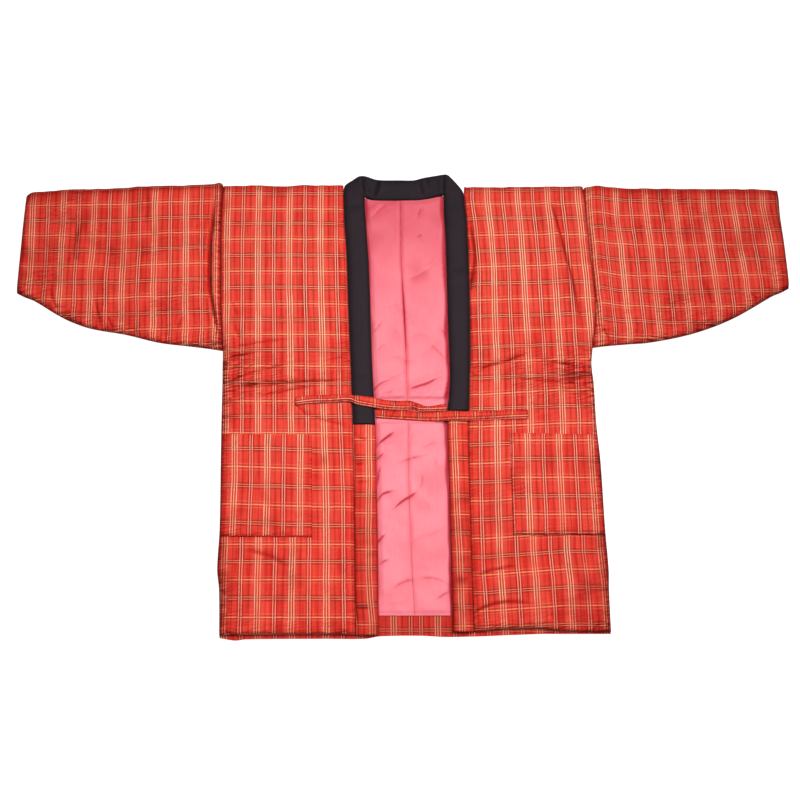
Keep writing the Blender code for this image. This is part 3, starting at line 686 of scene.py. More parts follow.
FRONT_FOLDS = fold_rows(
    (2640, 3650, 3030, 1300, 160, 36),
    (2860, 3650, 3240, 1300, 120, -22),
    (1310, 3400, 1290, 1700, 120, -20),
    (1200, 330, 2100, 720, 140, -16),
    (1300, 700, 2400, 1100, 180, 26),
    (3300, 200, 2700, 300, 120, -18),
    (900, -3950, 1900, -3650, 130, -16),
    (1200, -3150, 1900, -3050, 140, -16),
    (-3200, 720, -2800, 820, 100, -14),
    (-3200, 420, -2250, 600, 120, -16),
    (-3150, 560, -2300, 700, 100, 20),
    (-3140, 150, -1100, 265, 130, -16),
    (-3050, 320, -1800, 430, 140, 22),
    (-1750, -300, -1250, -420, 140, -16))
FRONT_CREASES = {
    Side.RIGHT: crease_rows(
        (((-3190, 640), (-3015, 701), (-2839, 732), (-2600, 765)), 26, 36,
            (0.5, 0.3)),
        (((-2994, 885), (-2670, 930), (-2261, 991), (-1878, 1045)), 33, 26, (0.5, 0.2)),
        (((-3150, 190), (-2828, 336), (-2538, 442), (-2248, 502), (-1954, 565)), 29, 29, (0.5, 0.3)),
        (((-3100, 4), (-2764, 155), (-2296, 201), (-1830, 230), (-1363, 261), (-954, 244)), 30, 39,
            (0.5, 0.3)),
        (((-2740, -50), (-2236, 34), (-1798, 124), (-1450, 194)), 30, 29, (0.4, 0.3)),
        (((-3038, 1326), (-2960, 1140), (-2901, 972)), 30, 29),
        (((-1872, -182), (-1754, -306), (-1617, -390)), 30, 34),
        (((-1700, -360), (-1278, -485), (-896, -598)), 33, 29),
        (((-2758, -2725), (-2542, -2755), (-2237, -2847), (-2082, -2934), (-1870, -2982)), 40, 24),
        (((-3012, -4060), (-2910, -4110), (-2791, -4170)), 20, 26),
        (((-3100, 1750), (-3020, 1560), (-2950, 1450)), 26, 21)),
    Side.LEFT: crease_rows(
        (((2690, 3740), (2755, 3479), (2848, 3089), (2979, 2512), (3080, 2005), (3164, 1472),
            (3200, 1200)), 28, 54, (0.3, 0.5)),
        (((1182, 3600), (1250, 3083), (1300, 2700), (1285, 2400), (1230, 2060), (1195, 1740)), 31, 60,
            (0.3, 0.3)),
        (((1190, 290), (1441, 502), (1765, 594), (2062, 701), (2270, 793)), 33, 37, (0.5, 0.3)),
        (((1200, 456), (1414, 548)), 26, 29),
        (((3117, 671), (3198, 487), (3240, 367)), 22, 24),
        (((2530, 594), (2879, 563), (3200, 456)), 23, 26, (0.5, 0.3)),
        (((1991, 275), (2572, 244), (3325, 184)), 23, 24, (0.5, 0.3)),
        (((3050, 103), (3320, -36)), 21, 24),
        (((3060, 893), (3320, 756)), 21, 20),
        (((3000, -180), (3350, -250)), 20, 19),
        (((990, -3903), (1200, -3770), (1400, -3675), (1640, -3612), (1930, -3603), (2200, -3640)), 23, 48,
            (0.4, 0.5)),
        (((1190, -3190), (1457, -3082), (1757, -3019), (1960, -3010)), 22, 36, (0.4, 0.4)),
        (((3330, -3900), (3240, -4000), (3180, -4080)), 20, 24)),
}
SLEEVE_FOLDS = fold_rows(
    (-3500, 3950, -3480, 950, 90, -18),
    (-3390, 3900, -3360, 950, 90, 34),
    (3560, 3800, 3640, 1100, 140, 24),
    (-4500, 3600, -4700, 1400, 300, 16),
    (4700, 3300, 4300, 1400, 300, 16))
SLEEVE_CREASES = {
    Side.RIGHT: crease_rows(
        (((-3440, 3990), (-3469, 3465), (-3486, 3194), (-3505, 2776),
            (-3500, 2364), (-3472, 1956), (-3408, 1608), (-3343, 1321), (-3277, 1036)), 27, 90,
            (0.25, 0.25)),
        (((-5532, 1781), (-5460, 1495), (-5400, 1253)), 25, 29),
        (((-5295, 1439), (-5172, 1207)), 22, 24),
        (((-6344, 1956), (-6263, 1698), (-6172, 1555)), 26, 26),
        (((-4035, 1195), (-3937, 1478)), 26, 21),
        (((-4700, 3900), (-4660, 3500), (-4720, 3200)), 46, 18),
        (((-5900, 3300), (-5960, 2800), (-5880, 2400)), 59, 17)),
    Side.LEFT: crease_rows(
        (((3540, 1321), (3615, 1121), (3689, 998)), 25, 31),
        (((6237, 1897), (6358, 1734)), 24, 21),
        (((4700, 3850), (4780, 3500), (4760, 3100)), 53, 18),
        (((5600, 1600), (5500, 1850), (5420, 2200)), 40, 18),
        (((4150, 1050), (4180, 1250), (4130, 1450)), 30, 21)),
}


@dataclass(frozen=True)
class Front:
    """The lie of one front: its wadding, folds, creases and puckers."""

    side: Side
    waviness: float = 0.0021  # of the wadding, over a hand's breadth
    lumps: float = 0.0013  # over two fingers' breadth
    wrinkles: float = 0.00032  # of the cloth itself
    puckers: float = 0.0007  # beside the seams

    def distances(self, x: Array, y: Array) -> tuple[Array, ...]:
        """How far each point is in from the side seam, the front edge and the hem."""
        level = np.minimum(y, SHOULDER_Y[self.side])
        return (np.abs(SIDE_EDGE[self.side](level) - x), np.abs(FRONT_EDGE[self.side](y) - x),
                y - front_hem(x))

    def thickness(self, x: Array, y: Array) -> Array:
        """Thickness of the wadded cloth before folds and creases.

        Args:
            x: Places along X.
            y: Places along Y.

        Returns:
            The thickness at each point.
        """
        seam, edge, hem = self.distances(x, y)
        share = wadding((seam, SEAM_ROUND, SEAM_PAD), (edge, SEAM_ROUND, HEM_PAD),
                        (hem, HEM_ROUND, HEM_PAD))
        shoulder = soft_step((y - SHOULDER_Y[self.side] + 0.05) / 0.05)
        share += (1.0 - share) * shoulder
        return PAD * share * rim(nearest(seam, edge + 0.003 * shoulder, hem))

    def relief(self, x: Array, y: Array) -> Array:
        """Height that folds, creases, puckers and uneven wadding add to the upper face.

        Args:
            x: Places along X.
            y: Places along Y.

        Returns:
            The height at each point.
        """
        seam, edge, hem = self.distances(x, y)
        height = laid(FRONT_FOLDS, x, y)
        height += laid(FRONT_CREASES[self.side], x, y)
        seed = 20 + self.side.way
        height = roughened(height, x, y, (seed, 0.062, self.waviness),
                           (seed + 2, 0.023, self.lumps), (seed + 4, 0.0085, self.wrinkles, 1.8))
        waist = 1.0 + 1.3 * swell(y, 0.03, 0.07)
        drawn = swell(y, 0.04, 0.04) * fade(seam, 0.085)
        height += drawn * Unevenness(seed + 8, 0.0068, 0.0013, 9.0, 1.45)(x, y)
        beside = Unevenness(seed + 6, 0.0105, self.puckers, 3.0, 0.0)
        height += waist * beside(y, seam) * fade(seam, 0.016)
        height += beside(y + 1.0, edge) * fade(edge, 0.01) * 0.7
        height += beside(x + 2.0, hem) * fade(hem, 0.012)
        return height * soft_step(0.15 + nearest(seam, edge, hem) / 0.006)

    def hollow(self, x: Array, y: Array) -> Array:
        """Painted shade of each point, in creases and dents, at seams, edges and hem and away from the
        fronts' upper part, from 0 to 1.

        Args:
            x: Places along X.
            y: Places along Y.

        Returns:
            The painted shade at each point.
        """
        seam, edge, hem = self.distances(x, y)
        depth = crease_painted_shade(FRONT_CREASES[self.side], x, y) + self.dents(x, y) + painted_falloff(x, y)
        armhole, band = (0.7, 0.35) if self.side is Side.RIGHT else (0.66, 0.3)
        sewn = soft_step((y - ARMPIT_Y) / 0.03)
        depth += edge_painted_shade(seam, armhole) * sewn
        low = soft_step((-0.22 - y) / 0.06)
        depth += edge_painted_shade(seam, 0.75, 0.006 + 0.0045 * low) * (1.0 - sewn)
        uneven = Unevenness(50 + self.side.way, 0.03, 0.5)(y, 0 * y) + 0.75
        depth += edge_painted_shade(edge, band, 0.0028) * uneven
        depth += edge_painted_shade(hem, 0.15, 0.005)
        return depth + edge_painted_shade(SHOULDER_Y[self.side] - y + 0.002, 0.55, 0.006)

    def drawn(self, x: Array, y: Array) -> Array:
        """Where the cloth is drawn into fine wrinkles, from 0 to 1.

        Args:
            x: Places along X.
            y: Places along Y.

        Returns:
            The share at each point.
        """
        seam, edge, hem = self.distances(x, y)
        waist = swell(y, 0.038, 0.052)
        share = waist * (0.3 + 0.75 * fade(seam, 0.07))
        share += 0.55 * fade(seam, 0.012) * soft_step((ARMPIT_Y - y) / 0.04)
        share += 0.45 * fade(hem, 0.014) + 0.35 * fade(edge, 0.01)
        patches = Unevenness(55 + self.side.way, 0.045, 0.2)(x, y) + 0.04
        return share + np.maximum(patches, 0.0)

    def dents(self, x: Array, y: Array) -> Array:
        """Painted shade in the dents of the wadding, from 0 to about 0.4.

        Args:
            x: Places along X.
            y: Places along Y.

        Returns:
            The painted shade at each point.
        """
        seed = 20 + self.side.way
        broad, fine = Unevenness(seed, 0.062, 0.5), Unevenness(seed + 2, 0.023, 0.6)
        return np.maximum(-broad(x, y) - fine(x, y) - 0.08, 0.0) * 0.42

    def lift(self, x: Array, y: Array) -> Array:
        """How far broad folds lift the inner face."""
        return FOLD_LIFT * np.maximum(laid(FRONT_FOLDS, x, y), 0.0)

    def pinch(self, x: Array, y: Array) -> Array:
        """How far the side seam draws this front down to the back.

        Args:
            x: Places along X.
            y: Places along Y.

        Returns:
            The drop at each point.
        """
        seam = self.distances(x, y)[0]
        below = soft_step((ARMPIT_Y + PINCH_RISE - y) / PINCH_RISE)
        return (FRONT_BASE - FOLD_MIDDLE - CLEAR) * below * (1.0 - soft_step(seam / PINCH))

    def inner(self, x: Array, y: Array) -> Array:
        """Height of the inner face."""
        return FRONT_BASE + self.lift(x, y) - self.pinch(x, y)

    def top(self, x: Array, y: Array) -> Array:
        """Height of the upper face."""
        height = FRONT_BASE + self.thickness(x, y) + self.relief(x, y)
        return np.maximum(height - self.pinch(x, y), self.inner(x, y) + THINNEST)


@dataclass(frozen=True)
class Body:
    """One length of the body: up the front, over the shoulder and down the back."""

    side: Side
    flat: tuple[float, float] = (0.335, 1.65)
    area: float = 0.455
    fold_steps: int = 10
    facing: float = 0.038  # plaid turned in at the hem

    def edge(self, trace: Trace, y: Array, way: float) -> Array:
        """An edge's place, set in by half the gap of a seam."""
        return trace(np.minimum(y, SHOULDER_Y[self.side])) + way * SEAM_GAP / 2

    def net(self, first: Trace, first_way: float, other: Trace, other_way: float, across: Rule,
            low: Trace, high: Trace | float, upward: Rule) -> tuple[Array, Array]:
        """Spread a net between two long edges and two ends.

        Args:
            first: Edge of the first column.
            first_way: Share of half a seam gap that is taken off it, along X.
            other: Edge of the last column.
            other_way: Share for that edge.
            across: Rule of the columns.
            low: Where the first row lies.
            high: Where the last row lies.
            upward: Rule of the rows.

        Returns:
            Places along X and along Y, rows by columns.
        """
        x = np.full((len(upward.shares), len(across.shares)), first(0.0))
        x += (other(0.0) - x) * across.shares
        for _ in range(3):
            start = low(x)
            end = high(x) if isinstance(high, Trace) else high
            way = np.sign(np.mean(end) - np.mean(start))
            y = start + (end - start) * upward.shares[:, None] + way * upward.steps[:, None]
            x = across.across(self.edge(first, y, first_way), self.edge(other, y, other_way))
        return x, y

    def make(self, finishes: list[Material]) -> Piece:
        """Build the length.

        Args:
            finishes: The plaid and the lining.

        Returns:
            The piece.
        """
        side, way, front = self.side, self.side.way, Front(self.side)
        fold_y = SHOULDER_Y[side]
        across = Rule(EDGE_STEPS, EDGE_STEPS, steps_for(0.19, CLOTH_STEP))
        x, y = self.net(SIDE_EDGE[side], -way, FRONT_EDGE[side], way, across, front_hem, fold_y,
                        Rule(EDGE_STEPS, (0.0,), steps_for(BODY_LENGTH, CLOTH_STEP), WAIST_PACE))
        top, inner = front.top(x, y), front.inner(x, y)
        outers, inners = [np.stack([x, y, top], -1)], [np.stack([x, y, inner], -1)]
        chart = FRONT_CHARTS[side]
        checks = [chart(x, y)]

        columns, back = self.back_net(across)
        more = columns.shape[1] - x.shape[1]
        depth = (top - inner)[-1]
        bend = math.pi * np.arange(1, self.fold_steps) / self.fold_steps
        out, up = np.sin(bend)[:, None], np.cos(bend)[:, None]
        fold_x = np.repeat(x[-1:], len(bend), axis=0)
        outers.append(np.stack([fold_x, fold_y + (SLIT / 2 + depth) * out,
                                np.maximum(FOLD_MIDDLE + (SLIT / 2 + depth) * up, 0.0)], -1))
        inners.append(np.stack([fold_x, fold_y + SLIT / 2 * out + 0 * fold_x,
                                FOLD_MIDDLE + SLIT / 2 * up + 0 * fold_x], -1))
        arc = ROUND_PAD * bend[:, None]
        checks.append(checks[0][-1:] - np.stack([0 * arc, arc / WEFT_REPEAT], -1))

        def widen(rows: Array) -> Array:
            """Repeat the last column of a part that has no collar columns."""
            return np.concatenate([rows, np.repeat(rows[:, -1:], more, axis=1)], axis=1)

        outers, inners, checks = ([widen(part) for part in parts]
                                  for parts in (outers, inners, checks))
        low, high = self.back_faces(columns, back, depth, x.shape[1])
        outers.append(np.stack([columns, back, low], -1))
        inners.append(np.stack([columns, back, high], -1))
        shoulder = chart(columns[:1], np.full(columns[:1].shape, fold_y))
        run = (ROUND_PAD * math.pi + (fold_y - back)) / WEFT_REPEAT
        checks.append(np.stack([shoulder[..., 0] + 0 * back, shoulder[..., 1] - run], -1))
        turned = [part.copy() for part in checks]
        turned[-1] = HEM_CHARTS[side](columns, back)

        rows = sum(part.shape[0] for part in outers)
        first_back = rows - back.shape[0]
        kept = np.zeros((rows - 1, columns.shape[1] - 1), bool)
        kept[:, :x.shape[1] - 1] = True
        kept[first_back:] = True
        inner_y = np.concatenate(inners)[..., 1][:-1, :-1]
        faced = np.where(np.arange(rows - 1)[:, None] < first_back,
                         inner_y < front_hem(0.0) + self.facing, inner_y < LINING_HEM_Y + 0.005)
        fields = np.zeros((2, *kept.shape + np.array((1, 1))))
        fields[:, :x.shape[0], :x.shape[1]] = front.hollow(x, y), front.drawn(x, y)
        fields[:, x.shape[0]:first_back] = fields[:, x.shape[0] - 1:x.shape[0]]
        # Painted shade on the back's hem strip below the lining, under the fronts' hems.
        fields[0, first_back:] = 0.55 * soft_step((-0.36 - back) / 0.01)
        wall = Wall(np.concatenate(outers), np.concatenate(inners), np.concatenate(checks),
                    np.concatenate(turned), kept, np.where(faced, 0, 1), False, *fields)
        return hand_over(wall.make(side.word + "_body", finishes),
                         "body_" + side.word)

    def back_net(self, across: Rule) -> tuple[Array, Array]:
        """Places of the back's points, from the shoulder fold and the neckline to the hem.

        Args:
            across: How the points from the side to the front edge lie.

        Returns:
            Places along X and along Y.
        """
        side, way = self.side, self.side.way
        down = Rule((0.0, 0.003), EDGE_STEPS, steps_for(BODY_LENGTH, HIDDEN_STEP))
        collar = Rule((0.0,), EDGE_STEPS, steps_for(0.1, HIDDEN_STEP))
        fold = Trace((-1.0, 1.0), (SHOULDER_Y[side], SHOULDER_Y[side]))
        x, y = self.net(SIDE_EDGE[side], -way, FRONT_EDGE[side], -way, across, fold, back_hem, down)
        more_x, more_y = self.net(FRONT_EDGE[side], -way, centre_back, 0.1 * way, collar, neckline,
                                  back_hem, down)
        return (np.concatenate([x, more_x[:, 1:]], axis=1),
                np.concatenate([y, more_y[:, 1:]], axis=1))

    def back_faces(self, x: Array, y: Array, depth: Array,
                   count: int) -> tuple[Array, Array]:
        """Heights of the back's underside and of its upper face.

        Args:
            x: Places along X.
            y: Places along Y.
            depth: Thickness where the shoulder fold ends, one for each of its columns.
            count: How many columns the shoulder fold has.

        Returns:
            Height of the underside and of the face that the lining lies on.
        """
        side = self.side
        seam = np.abs(SIDE_EDGE[side](np.minimum(y, SHOULDER_Y[side])) - x)
        middle, hem = np.abs(centre_back(y) - x), y - back_hem(x)
        neck = np.full(x.shape, 1.0)
        neck[:, count:] = (neckline(x) - y)[:, count:]
        share = wadding((seam, SEAM_ROUND, SEAM_PAD), (middle, HEM_ROUND, BACK_SEAM_PAD),
                        (hem, HEM_ROUND, HEM_PAD), (neck, HEM_ROUND, BACK_SEAM_PAD))
        edge = nearest(seam, middle, hem, neck)
        thick = PAD * share * rim(edge)
        seed = 40 + side.way
        dents = Unevenness(seed, 0.012, 0.0009, 3.0, 0.0)
        hollow = sum(np.maximum(dents(along, far), 0) * fade(far, reach) for along, far, reach in
                     ((y, seam, 0.016), (y + 1.0, middle, 0.012), (x + 2.0, hem, 0.014)))
        hollow += np.maximum(Unevenness(seed + 2, 0.05, 0.0012)(x, y) - 0.0004, 0)
        thick -= hollow * soft_step(edge / 0.004)
        full = np.concatenate([depth, np.full(x.shape[1] - count, PAD)])
        blend = soft_step((SHOULDER_Y[side] - y) / 0.03)
        thick[:, :count] = (full * (1 - blend) + thick * blend)[:, :count]
        below = soft_step((ARMPIT_Y + PINCH_RISE - y) / PINCH_RISE)
        pinch = (FOLD_MIDDLE - BACK_TOP - CLEAR) * below * (1.0 - soft_step(seam / PINCH))
        high = BACK_TOP + pinch
        low = np.maximum(high - np.maximum(thick, THINNEST), 0.0)
        return low, np.maximum(high, low + THINNEST)


@dataclass(frozen=True)
class Sleeve:
    """A sleeve: a flattened tube with a boat-shaped seam below, open at both ends."""

    side: Side
    stations: tuple[float, ...]  # places along X, for the heights of both long edges
    top_y: tuple[float, ...]
    bottom_y: tuple[float, ...]
    lean: float  # how far the cuff's lower end stands out past its top end
    square: float  # how sharp the corner between cuff and top fold is
    flat: tuple[float, float] = (0.37, 0.62)
    area: float = 0.205
    fold_steps: int = 10
    facing: float = 0.035

    def edges(self, reach: Array) -> tuple[Array, Array]:
        """Heights of the top fold and of the seam below, at distances from the middle."""
        x = self.side.way * reach
        return Trace(self.stations, self.top_y)(x), Trace(self.stations, self.bottom_y)(x)

    def seam_shift(self, reach: Array, y: Array) -> Array:
        """Lean of the armhole seam and of the cuff, along X.

        Args:
            reach: Distances from the middle.
            y: Places along Y.

        Returns:
            The shift at each point.
        """
        way = self.side.way
        share = (reach - ARMHOLE_X) / (CUFF_X - ARMHOLE_X)
        top, bottom = self.edges(reach)
        along = np.clip((top - y) / (top - bottom), 0.0, 1.0)
        seam = SIDE_EDGE[self.side](np.minimum(y, SHOULDER_Y[self.side])) + way * SEAM_GAP / 2
        lean = way * self.lean * (np.sin(math.pi / 2 * along) - 1)
        return (seam - way * ARMHOLE_X) * (1 - share) + lean * share

    def relief(self, x: Array, y: Array, arm: Array,
               seam: Array, cuff: Array) -> Array:
        """Height that folds, creases, puckers and uneven wadding add to the upper face.

        Args:
            x: Places along X.
            y: Places along Y.
            arm: Distances from the armhole.
            seam: Distances from the seam below.
            cuff: Distances from the cuff.

        Returns:
            The height at each point.
        """
        height = laid(SLEEVE_FOLDS, x, y)
        height += laid(SLEEVE_CREASES[self.side], x, y)
        seed = 60 + self.side.way
        height = roughened(height, x, y, (seed, 0.058, 0.0026), (seed + 2, 0.021, 0.0016),
                           (seed + 4, 0.0085, 0.00034, 1.8))
        beside = Unevenness(seed + 6, 0.01, 0.0009, 3.2, 0.0)
        height += beside(y, arm) * fade(arm, 0.012) * 0.7
        height += beside(x + 1.0, seam) * fade(seam, 0.018)
        height += beside(y + 2.0, cuff) * fade(cuff, 0.012)
        return height * soft_step(0.15 + nearest(arm, seam, cuff) / 0.006)

    def make(self, finishes: list[Material]) -> Piece:
        """Build the sleeve.

        Args:
            finishes: The plaid and the lining.

        Returns:
            The piece.
        """
        way = self.side.way
        stations = Rule(EDGE_STEPS, EDGE_STEPS, steps_for(0.33, CLOTH_STEP))
        reach = stations.across(ARMHOLE_X, CUFF_X)[:, None]
        top, bottom = self.edges(reach)
        fold_y = top - SLIT / 2 - PAD
        lines = Rule(EDGE_STEPS, (0.0,), steps_for(0.27, CLOTH_STEP * 1.15))
        y = lines.across(bottom, fold_y)
        x = way * reach + self.seam_shift(reach, y)
        arm, cuff, seam = reach - ARMHOLE_X + 0 * y, CUFF_X - reach + 0 * y, y - bottom
        share = wadding((arm, SEAM_ROUND, SEAM_PAD), (cuff, HEM_ROUND, HEM_PAD),
                        (seam, SEAM_ROUND, SEAM_PAD))
        shoulder = soft_step((y - fold_y + 0.05) / 0.05)
        square = shoulder * self.square
        end = fullness(cuff + HEM_ROUND * square, HEM_ROUND, HEM_PAD, PAD)
        share += (end - share) * shoulder
        thick = PAD * share * rim(nearest(arm, cuff + LIP_ROUND * square, seam))
        pinch = (SLIT / 2 - CLEAR) * (1.0 - soft_step(seam / PINCH))
        front_inner, back_inner = FRONT_BASE - pinch, BACK_TOP + pinch
        relief = self.relief(x, y, arm, seam, cuff)
        front_outer = np.maximum(front_inner + thick + relief, front_inner + THINNEST)
        dents = Unevenness(70 + way, 0.011, 0.001, 3.0, 0.0)
        hollow = np.maximum(dents(x, seam), 0) * fade(seam, 0.02)
        hollow += np.maximum(Unevenness(72 + way, 0.05, 0.0014)(x, y) - 0.0004, 0)
        under = np.maximum(thick - hollow * soft_step(seam / 0.004), THINNEST)
        back_outer = np.maximum(back_inner - under, 0.0)
        taken = y + SEAM_TAKE * fade(seam, 0.006)

        bend = math.pi * np.arange(1, self.fold_steps) / self.fold_steps
        out, up = np.sin(bend), np.cos(bend)
        share = bend / math.pi
        depth = (front_outer - front_inner)[:, -1:] * (1 - share)
        depth += (back_inner - back_outer)[:, -1:] * share
        fold_x = way * reach + self.seam_shift(reach, fold_y + 0 * bend)
        outer_y = fold_y + (SLIT / 2 + depth) * out
        outer_z = np.maximum(FOLD_MIDDLE + (SLIT / 2 + depth) * up, 0.0)
        inner_y = fold_y + SLIT / 2 * out
        inner_z = FOLD_MIDDLE + SLIT / 2 * up + 0 * fold_x

        def around(front: Array, fold: Array, back: Array) -> Array:
            """One ring at each station: up the front, over the top, down the back, closed."""
            return np.concatenate([front, fold, back[:, ::-1], front[:, :1]], axis=1)

        outer = np.stack([around(x, fold_x, x), around(y, outer_y, y),
                          around(front_outer, outer_z, back_outer)], -1)
        inner = np.stack([around(x, fold_x, x), around(taken, inner_y, taken),
                          around(front_inner, inner_z, back_inner)], -1)
        shown = SLEEVE_CHARTS[self.side](x, y)
        crown = shown[:, -1:]
        arc = ROUND_PAD * bend[None, :, None] / WEFT_REPEAT
        over = crown - arc * np.array([0.0, 1.0])
        run = (ROUND_PAD * math.pi + fold_y - y) / WEFT_REPEAT
        under_check = np.stack([shown[..., 0], crown[..., 1] - run], -1)
        check = around(shown, over, under_check)
        check[:, -1] = check[:, -2]
        # Painted shade: in the creases, away from the fronts' upper part, in the dents of the wadding, and
        # at the armhole, cuff, seam and top fold.
        painted_shade = crease_painted_shade(SLEEVE_CREASES[self.side], x, y) + painted_falloff(x, y)
        seed = 60 + way
        dents = Unevenness(seed, 0.058, 0.5)(x, y) + Unevenness(seed + 2, 0.021, 0.7)(x, y)
        painted_shade += np.maximum(-dents - 0.05, 0.0) * 0.26
        painted_shade += edge_painted_shade(arm, 0.7 if self.side is Side.RIGHT else 0.3)
        painted_shade += edge_painted_shade(cuff, 0.9, 0.006) + edge_painted_shade(seam, 0.25, 0.004)
        painted_shade += edge_painted_shade(fold_y - y + 0.002, 0.6, 0.006)
        hollow = around(painted_shade, np.repeat(painted_shade[:, -1:], fold_x.shape[1], axis=1),
                        edge_painted_shade(cuff, 0.9, 0.006))
        drawn = 0.6 * fade(seam, 0.022) + 0.5 * fade(arm, 0.02)
        drawn += np.maximum(Unevenness(76 + way, 0.045, 0.35)(x, y) + 0.05, 0.0)
        drawn = around(drawn, 0 * fold_x, 0 * y)
        span = (len(reach) - 1, outer.shape[1] - 1)
        faced = np.broadcast_to(CUFF_X - reach[:-1] < self.facing, span)
        wall = Wall(outer, inner, check, check, None, np.where(faced, 0, 1), True, hollow, drawn)
        return hand_over(wall.make(self.side.word + "_sleeve", finishes),
                         "sleeve_" + self.side.word)


SLEEVES = (
    Sleeve(Side.RIGHT,
           metres(-3310, -3495, -3860, -4435, -5005, -5625, -5975, -6235, -6655, -6850, -6975),
           metres(4005, 4025, 4010, 3975, 3955, 3930, 3920, 3910, 3885, 3870, 3830),
           metres(815, 850, 900, 975, 1120, 1235, 1360, 1495, 1755, 1835, 1900), 0.003, 0.0),
    Sleeve(Side.LEFT,
           metres(3320, 3515, 3965, 4345, 5005, 5515, 5935, 6285, 6655, 6850, 6975),
           metres(3945, 3960, 3955, 3950, 3940, 3932, 3925, 3920, 3915, 3910, 3900),
           metres(875, 905, 945, 975, 1105, 1265, 1445, 1635, 1845, 1925, 1990), 0.009, 1.0),
)


@dataclass(frozen=True)
class Pocket:
    """A patch pocket that lies on a front and runs into the side seam."""

    side: Side
    inner_top: tuple[float, float]
    inner_bottom: tuple[float, float]
    side_top: float
    side_bottom: float
    pad: float = 0.0026
    edge: float = 0.0013  # thickness at the edges
    round: float = 0.005  # how far in from them it is full
    inset: float = 0.0015  # from the side seam
    flat: tuple[float, float] = (0.163, 0.182)

    def make(self, plaid: Material) -> Piece:
        """Build the pocket on the front.

        Args:
            plaid: Its material.

        Returns:
            The piece.
        """
        side, way, front = self.side, self.side.way, Front(self.side)
        steps = (0.0, 0.0004, 0.0012, 0.0026, 0.005)
        down = Rule(steps, steps, steps_for(0.17, CLOTH_STEP))
        height = self.side_top - self.side_bottom
        t = (down.across(0.0, height) / height)[:, None]
        inner_x = self.inner_top[0] + (self.inner_bottom[0] - self.inner_top[0]) * t
        inner_y = self.inner_top[1] + (self.inner_bottom[1] - self.inner_top[1]) * t
        side_y = self.side_top + (self.side_bottom - self.side_top) * t
        ripple = Unevenness(80 + way, 0.013, 0.0005, 1.0, 0.0)
        inner_x += ripple(side_y, 0 * side_y)
        side_x = SIDE_EDGE[side](side_y) - way * self.inset
        across = Rule(steps, steps, steps_for(0.15, CLOTH_STEP))
        x = across.across(side_x, inner_x)
        y = side_y + (inner_y - side_y) * (x - side_x) / (inner_x - side_x)
        y += ripple(x + 1.0, 0 * x) * soft_step((t - 0.9) / 0.1)
        base = front.top(x, y) + 0.0004
        off_inner, off_bottom = np.abs(x - inner_x), (1 - t) * height
        edge = nearest(off_inner, np.abs(x - side_x), np.minimum(t, 1 - t) * height)
        sewn = np.minimum(off_inner, off_bottom)
        thick = self.pad * fullness(edge, self.round, self.edge, self.pad)
        thick *= rim(edge, 0.4, 0.001)
        beside = Unevenness(82 + way, 0.0085, 0.0006, 2.5, 0.0)
        along = np.where(off_inner < off_bottom, y, x + 3.0)
        thick += beside(along, sewn) * fade(sewn, 0.009) * soft_step(sewn / 0.002)
        thick = np.maximum(thick, 0.0005)
        check = POCKET_CHARTS[side](x, y)
        # Painted shade along the pocket's bottom, top and inner edges, over the front's own.
        dark = (0.65 * fade(off_bottom, 0.0022) + 0.3 * fade(t * height, 0.0018)
                + 0.28 * fade(off_inner, 0.0018))
        wall = Wall(np.stack([x, y, base + thick], -1), np.stack([x, y, base], -1), check, check,
                    hollow=front.hollow(x, y) + dark,
                    drawn=front.drawn(x, y) + 0.4 * fade(sewn, 0.01))
        return hand_over(wall.make(side.word + "_pocket", [plaid]),
                         "pocket_" + side.word)


